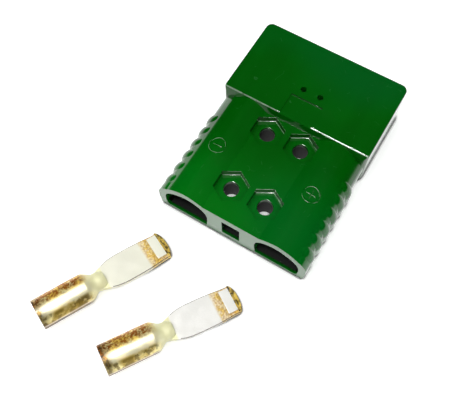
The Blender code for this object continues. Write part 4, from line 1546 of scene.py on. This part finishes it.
@dataclass(frozen=True)
class ContactSizes:
    """Sizes of a crimp contact along its own axis, in millimetres."""

    lying_radius: float = 8.85
    barrel_radius: float = 8.81
    open_trim: float = 0.04
    bore_radius: float = 6.85
    barrel_length: float = 28.5
    mouth_round: float = 0.4
    mouth_steps: int = 4
    bore_end: float = 26.0
    bore_tip: float = 2.6
    bore_point: float = 0.02
    shoulder_end: float = 35.4
    neck_radius: float = 5.45
    neck_end: float = 40.9
    dome_length: float = 4.2
    dome_depth: float = 2.6
    blade_end: float = 79.0
    blade_root: float = 3.4
    blade_top: float = 0.9
    blade_low: float = -2.5
    blade_neck: float = 5.2
    blade_widest: Point = (9.1, 17.1)
    blade_tip: float = 8.2
    blade_bulge: float = 1.9
    blade_edge: float = 0.4
    boss_end: float = 76.9
    boss_start: float = 71.4
    ramp_start: float = 69.7
    boss_half_width: float = 6.8
    boss_top: float = 3.3
    boss_edge: float = 0.2
    boss_front_slope: float = 1.0
    sunk: float = 0.8
    lip_half_width: float = 8.0
    lip_back_lap: float = 0.1
    lip_back_drop: float = 0.35
    lip_foot: float = 2.4
    lip_nose_drop: float = 0.6
    lip_edge: float = 0.3
    outline_angle: float = 70.0


@dataclass(frozen=True)
class Contact:
    """A loose crimp contact: a bored barrel, a domed neck and a flat blade with a boss and a lip."""

    node: str
    open_end: Point
    heading: float
    plating: PlatedMetal
    sizes: ContactSizes = ContactSizes()
    sides: int = 128
    arc_steps: int = 24
    resolution: int = 10
    line_tilt: float = 0.12

    def barrel(self) -> bpy.types.Mesh:
        """Turn the barrel, shoulder, neck and bore about the contact's axis, +Y.

        Returns:
            The closed mesh, in metres.
        """
        s = self.sizes
        half_profile: list[Point] = []
        steps = self.arc_steps
        for step in range(1, steps + 1):
            angle = math.radians(90.0 * step / steps)
            radius = s.neck_radius - s.dome_depth * (1.0 - math.sin(angle))
            half_profile.append((radius, s.neck_end - s.dome_length * (1.0 - math.cos(angle))))
        for step in range(steps + 1):
            share = step / steps
            blend = 0.5 - 0.5 * math.cos(math.pi * share)
            radius = s.neck_radius + (s.barrel_radius - s.neck_radius) * blend
            half_profile.append((radius, s.shoulder_end - (s.shoulder_end - s.barrel_length) * share))
        for centre, start in ((s.barrel_radius - s.mouth_round, 0.0), (s.bore_radius + s.mouth_round, 90.0)):
            for step in range(s.mouth_steps + 1):
                angle = math.radians(start + 90.0 * step / s.mouth_steps)
                along = s.open_trim + s.mouth_round * (1.0 - math.sin(angle))
                half_profile.append((centre + s.mouth_round * math.cos(angle), along))
        half_profile.append((s.bore_radius, s.bore_end))
        first = s.neck_radius - s.dome_depth
        ends = [(first, s.neck_end), *half_profile, (s.bore_point, s.bore_end + s.bore_tip)]
        rings = [[mm(x, along, z) for x, z in circle(radius, self.sides)] for radius, along in ends]
        return lofted("barrel", rings)

    def blade(self) -> bpy.types.Mesh:
        """The flat blade: narrow at the neck, widest at mid length, domed at the tip.

        Returns:
            The closed mesh, in metres.
        """
        s = self.sizes
        neck = (s.blade_neck, s.neck_end)
        widest = (s.blade_widest[0], s.neck_end + s.blade_widest[1])
        corner = (s.blade_tip, s.blade_end)
        apex = (0.0, s.blade_end + s.blade_bulge)
        right = [
            (s.blade_neck, s.shoulder_end - s.blade_root, False),
            (s.blade_neck, s.shoulder_end, True),
            between(neck, widest, 0.41, -0.03),
            between(neck, widest, 0.82, 0.27),
            (*widest, True),
            between(widest, corner, 0.3, 0.45),
            between(widest, corner, 0.88, 0.78),
            (*corner, False),
            between(corner, apex, 0.4, 0.72),
        ]
        left = [(-x, y, smooth) for x, y, smooth in reversed(right)]
        outline = smooth_outline(right + [(*apex, True)] + left, self.resolution)
        mesh = prism("blade", outline, s.blade_low, s.blade_top, OUTLINE_IN_XY)
        return round_edges(mesh, sharper_than(s.outline_angle), s.blade_edge, 3)

    def boss(self) -> bpy.types.Mesh:
        """The raised boss near the blade's tip, with a ramped rear face.

        Returns:
            The closed mesh, in metres.
        """
        s = self.sizes
        low = s.blade_top - s.sunk
        outline = [
            (s.ramp_start, low),
            (s.boss_end + s.boss_front_slope, low),
            (s.boss_end, s.boss_top),
            (s.boss_start, s.boss_top),
            (s.ramp_start, s.blade_top),
        ]
        mesh = prism("boss", outline, -s.boss_half_width, s.boss_half_width, OUTLINE_IN_YZ)
        top = s.blade_top * MM
        return round_edges(mesh, lambda edge: min(v.co.z for v in edge.verts) > top, s.boss_edge, 3)

    def lip(self) -> bpy.types.Mesh:
        """The lip that curls up across the tip.

        Returns:
            The closed mesh, in metres.
        """
        s = self.sizes
        back = (s.boss_end - s.lip_back_lap, s.boss_top - s.lip_back_drop)
        nose = (s.blade_end, s.blade_top - s.lip_nose_drop)
        knots = [
            (back[0], s.blade_top - s.sunk, False),
            (s.blade_end, s.blade_top - s.lip_foot, False),
            (*nose, True),
            between(nose, back, 0.27, 0.5),
            between(nose, back, 0.64, 0.96),
            (*back, False),
        ]
        half = s.lip_half_width
        mesh = prism("lip", smooth_outline(knots, self.resolution), -half, half, OUTLINE_IN_YZ)
        ends = [lies_in(0, half), lies_in(0, -half)]
        return round_edges(mesh, lambda edge: any(test(edge) for test in ends), s.lip_edge, 3)

    def place(self) -> Matrix:
        """How the contact lies: on the front edge of its barrel and on its blade's tip.

        Returns:
            The turn and shift from the contact's own axes to the world.
        """
        s = self.sizes
        reach = s.blade_end + s.blade_bulge - s.barrel_length
        tilt = math.atan2(s.lying_radius + s.blade_low, reach)
        lowest = s.lying_radius * math.cos(tilt) + s.barrel_length * math.sin(tilt)
        spot = Matrix.Translation(mm(*self.open_end, lowest))
        return spot @ Matrix.Rotation(-math.radians(self.heading), 4, "Z") @ Matrix.Rotation(-tilt, 4, "X")

    def note_places(self, mesh: bpy.types.Mesh) -> None:
        """Keep each point's place on the contact, and mark the blade's rounded edges, which get painted shade
        lines.

        Args:
            mesh: the contact along its own axes, in metres.
        """
        s = self.sizes
        laid = mesh.attributes.new("laid_place", "FLOAT_VECTOR", "POINT")
        line = mesh.attributes.new("edge_shade_line", "FLOAT", "FACE")
        for index, vert in enumerate(mesh.vertices):
            laid.data[index].vector = vert.co
        for index, face in enumerate(mesh.polygons):
            # Faces on the blade's rounded edges get a painted shade line.
            on_blade = face.center.y > (s.neck_end + 1.0) * MM and face.center.z < (s.blade_top + TOUCH) * MM
            tilt = min(abs(face.normal.z), math.hypot(face.normal.x, face.normal.y))
            line.data[index].value = 1.0 if on_blade and tilt > self.line_tilt else 0.0

    def build(self) -> bpy.types.Object:
        """Make the contact and put it in the place of its plain solid.

        Returns:
            The finished piece.
        """
        steps = [(Step.JOIN, mesh) for mesh in (self.blade(), self.boss(), self.lip())]
        mesh = carved(self.node + "_bright", self.barrel(), steps)
        self.note_places(mesh)
        mesh.transform(self.place())
        piece = finished_piece(self.node + "_bright", mesh, self.plating.material())
        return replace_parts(piece, self.node)


@dataclass(frozen=True)
class LeafSpring:
    """A bowed leaf spring in its groove, with a small hook at the front; sizes in millimetres."""

    node: str
    side: int
    groove_x: float = 29.0
    start: float = 19.0
    end: float = 54.0
    base: float = 8.3
    thickness: float = 0.8
    width: float = 15.0
    arch: float = 1.9
    hook: Point = (2.0, 2.2)
    edge: float = 0.12
    resolution: int = 16

    def build(self, finish: bpy.types.Material) -> bpy.types.Object:
        """Bend the spring and put it in the place of its plain solid.

        Args:
            finish: the steel.

        Returns:
            The finished piece.
        """
        hook_start = (self.end - self.hook[0], self.base)
        hook_tip = (self.end, self.base + self.hook[1])
        lower = [
            (self.start, self.base, True),
            ((self.start + self.end) / 2, self.base + self.arch, True),
            (*hook_start, True),
            between(hook_start, hook_tip, 0.8, 0.23),
            (*hook_tip, True),
        ]
        upper = []
        for index, (y, z, smooth) in enumerate(lower):
            before, after = lower[max(index - 1, 0)], lower[min(index + 1, len(lower) - 1)]
            along = Vector((after[0] - before[0], after[1] - before[1])).normalized()
            upper.append((y - along.y * self.thickness, z + along.x * self.thickness, smooth))
        knots = lower + list(reversed(upper))
        ends = (0, len(lower) - 1, len(lower), len(knots) - 1)
        knots = [(y, z, smooth and index not in ends) for index, (y, z, smooth) in enumerate(knots)]
        middle = self.side * self.groove_x
        half = self.width / 2
        outline = smooth_outline(knots, self.resolution)
        mesh = prism(self.node, outline, middle - half, middle + half, OUTLINE_IN_YZ)
        round_edges(mesh, sharper_than(SQUARE_ANGLE), self.edge, 2)
        piece = finished_piece(self.node + "_leaf", mesh, finish)
        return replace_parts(piece, self.node)


# ---- Studio


@dataclass(frozen=True)
class Lamp:
    """A soft rectangular lamp: metres and watts."""

    name: str
    place: tuple[float, float, float]
    target: tuple[float, float, float]
    size: Point
    power: float
    lights: bool = True
    mirrored: bool = True

    def hang(self) -> None:
        """Hang the lamp in its place."""
        light = bpy.data.lights.new(self.name, "AREA")
        light.shape = "RECTANGLE"
        light.size, light.size_y = self.size
        light.energy = self.power
        holder = bpy.data.objects.new(self.name, light)
        holder.location = self.place
        aim = Vector(self.target) - Vector(self.place)
        holder.rotation_euler = aim.to_track_quat("-Z", "Y").to_euler()
        holder.visible_diffuse = self.lights
        holder.visible_glossy = self.mirrored
        bpy.context.scene.collection.objects.link(holder)


LAMPS = (
    Lamp("canopy", (0.0, 0.0, 1.4), (0.0, 0.0, 0.0), (2.4, 2.4), 25.0, mirrored=False),
    Lamp("softbox", (-0.1, -0.30, 1.0), (-0.1, -0.30, 0.0), (0.9, 0.5), 2.6),
    Lamp("sheen_panel", (-0.1, -0.30, 1.01), (-0.1, -0.30, 0.0), (0.9, 0.5), 2.2, lights=False),
    Lamp("barrel_glint", (-0.07, -0.34, 0.90), (0.0, -0.05, 0.0), (0.26, 0.15), 20.0, lights=False),
    Lamp("low_front", (0.05, -0.75, 0.45), (0.0, -0.03, 0.0), (0.8, 0.35), 4.5, lights=False),
)


@dataclass(frozen=True)
class Studio:
    """Pale floor that curves up into a low wall, soft lamps and the photograph's camera."""

    floor_inner: float = 0.4
    floor_radius: float = 2.4
    wall_radius: float = 3.0
    wall_height: float = 1.5
    floor_gap: float = 0.00004
    sides: int = 64
    corner_steps: int = 8
    glow: float = 0.5
    mirror_glow: float = 0.7
    paper: float = 0.90
    # Reach of the painted contact shade, in metres.
    crease: float = 0.003
    ceiling: float = 0.006
    # The paper's colour in the painted contact shade, and high on the wall.
    dark: Colour = (0.02, 0.02, 0.02)
    camera_place: tuple[float, float, float] = (0.069898, -0.173286, 0.354021)
    camera_turn: tuple[float, float, float] = (23.4, 0.0, 30.8)
    focal_pixels: float = 641.3
    image_width: float = 475.0
    sensor_width: float = 36.0
    clip: Point = (0.01, 50.0)

    def sweep_material(self) -> bpy.types.Material:
        """White paper: white to the camera and in reflections, with the shadow kept and a painted contact
        shade, from an occlusion node, in the creases at the pieces' feet.

        Its glow in reflections fades with height and to the left, so that level tops mirror a dark room.

        Returns:
            The material.
        """
        bench = MaterialBench("studio_white")
        # Painted contact shade: an occlusion node darkens the paper and its glow close to the pieces.
        lit = bench.wire("ShaderNodeAmbientOcclusion", {"Distance": self.crease}, "AO", samples=12)
        lit = lit.ramp((0.45, 0.85))
        place = bench.object_place()
        across, _, height = bench.axes(place, unit=1.0)
        path = bench.add("ShaderNodeLightPath")
        camera, glossy, through = (
            Wire(bench, path.outputs["Is %s Ray" % word]) for word in ("Camera", "Glossy", "Transmission")
        )
        aside = across.ramp((-0.9, -0.15), (0.9, 0.0)) * glossy
        low = height.ramp((0.0, 0.4), FALLING) * (1.0 - aside)
        shade = bench.mixed(lit * low, self.dark, (self.paper,) * 3)
        paper = bench.wire("ShaderNodeBsdfDiffuse", {"Color": shade})
        distance = bench.wire("ShaderNodeVectorMath", {0: place}, "Value", operation="LENGTH")
        direct = camera * distance.ramp((0.5, 1.4), (self.glow, 1.0))
        mirrored = glossy.larger(through) * low * self.mirror_glow
        glow = bench.wire("ShaderNodeEmission", {"Strength": direct.larger(mirrored) * lit})
        both = bench.wire("ShaderNodeAddShader", {0: paper, 1: glow})
        bench.add("ShaderNodeOutputMaterial", {"Surface": both})
        return bench.material

    def sweep(self) -> None:
        """Floor and wall in one turned sheet."""
        rise = self.wall_radius - self.floor_radius
        profile = [(self.floor_inner, 0.0), (self.floor_radius, 0.0)]
        profile += arc((self.floor_radius, rise), rise, -90.0, 0.0, self.corner_steps)[1:]
        profile.append((self.wall_radius, self.wall_height))
        ground = CAD_BOX[0].z - self.floor_gap
        work = bmesh.new()
        rows = []
        for radius, z in profile:
            rows.append([work.verts.new((x, y, z + ground)) for x, y in circle(radius, self.sides)])
        work.faces.new(rows[0])
        for low, high in zip(rows, rows[1:]):
            for index in range(self.sides):
                after = (index + 1) % self.sides
                work.faces.new((low[index], high[index], high[after], low[after]))
        mesh = mesh_from(work, "studio_sweep")
        mesh.materials.append(self.sweep_material())
        mesh.shade_smooth()
        floor = bpy.data.objects.new("studio_sweep", mesh)
        bpy.context.scene.collection.objects.link(floor)

    def world(self) -> None:
        """A dark ceiling, which the level tops mirror, and white where the camera looks past the wall."""
        world = bpy.data.worlds.new("studio_world")
        world.use_nodes = True
        bench = Bench(world.node_tree)
        seen = bench.wire("ShaderNodeLightPath", output="Is Camera Ray")
        shade = seen.ramp((0.0, 1.0), (self.ceiling, 1.0))
        sky = bench.wire("ShaderNodeBackground", {"Color": (1.0, 1.0, 1.0, 1.0), "Strength": shade})
        bench.add("ShaderNodeOutputWorld", {"Surface": sky})
        bpy.context.scene.world = world

    def camera(self) -> None:
        """The photograph's camera."""
        data = bpy.data.cameras.new("photo_camera")
        data.sensor_width = self.sensor_width
        data.lens = self.focal_pixels / self.image_width * self.sensor_width
        data.clip_start, data.clip_end = self.clip
        holder = bpy.data.objects.new("photo_camera", data)
        holder.location = self.camera_place
        holder.rotation_euler = [math.radians(angle) for angle in self.camera_turn]
        bpy.context.scene.collection.objects.link(holder)
        bpy.context.scene.camera = holder

    def build(self) -> None:
        """Set up floor, lamps, world and camera."""
        self.sweep()
        self.world()
        for lamp in LAMPS:
            lamp.hang()
        self.camera()
        bpy.context.scene.view_settings.view_transform = "Standard"


def surface_of(piece: bpy.types.Object) -> BVHTree:
    """A piece's surface, for laying marks on it."""
    return BVHTree.FromObject(piece, bpy.context.evaluated_depsgraph_get())


def main() -> None:
    """Build every piece in order and report it."""
    logging.basicConfig(level=logging.INFO, format="%(name)s: %(message)s")
    Studio().build()
    green = GreenPlastic().material()
    steel = SpringSteel().material()
    pieces = [Housing().build(green)]
    surface = surface_of(pieces[0])
    pieces += [PoleMark(pole).build(surface, green) for pole in Pole]
    right = PlatedMetal("plating_right", 0.31, (0.99, 0.98, 0.93))
    left = PlatedMetal("plating_left", 0.0, (0.99, 0.98, 0.82))
    pieces.append(Contact("contact_right", (-20.3, -160.5), 31.9, right).build())
    pieces.append(Contact("contact_left", (-64.5, -158.5), 25.3, left).build())
    pieces.append(LeafSpring("spring_right", 1).build(steel))
    pieces.append(LeafSpring("spring_left", -1).build(steel))
    for piece in pieces:
        LOG.info("%s: %d faces", piece.name, len(piece.data.polygons))


if __name__ == "__main__":
    main()
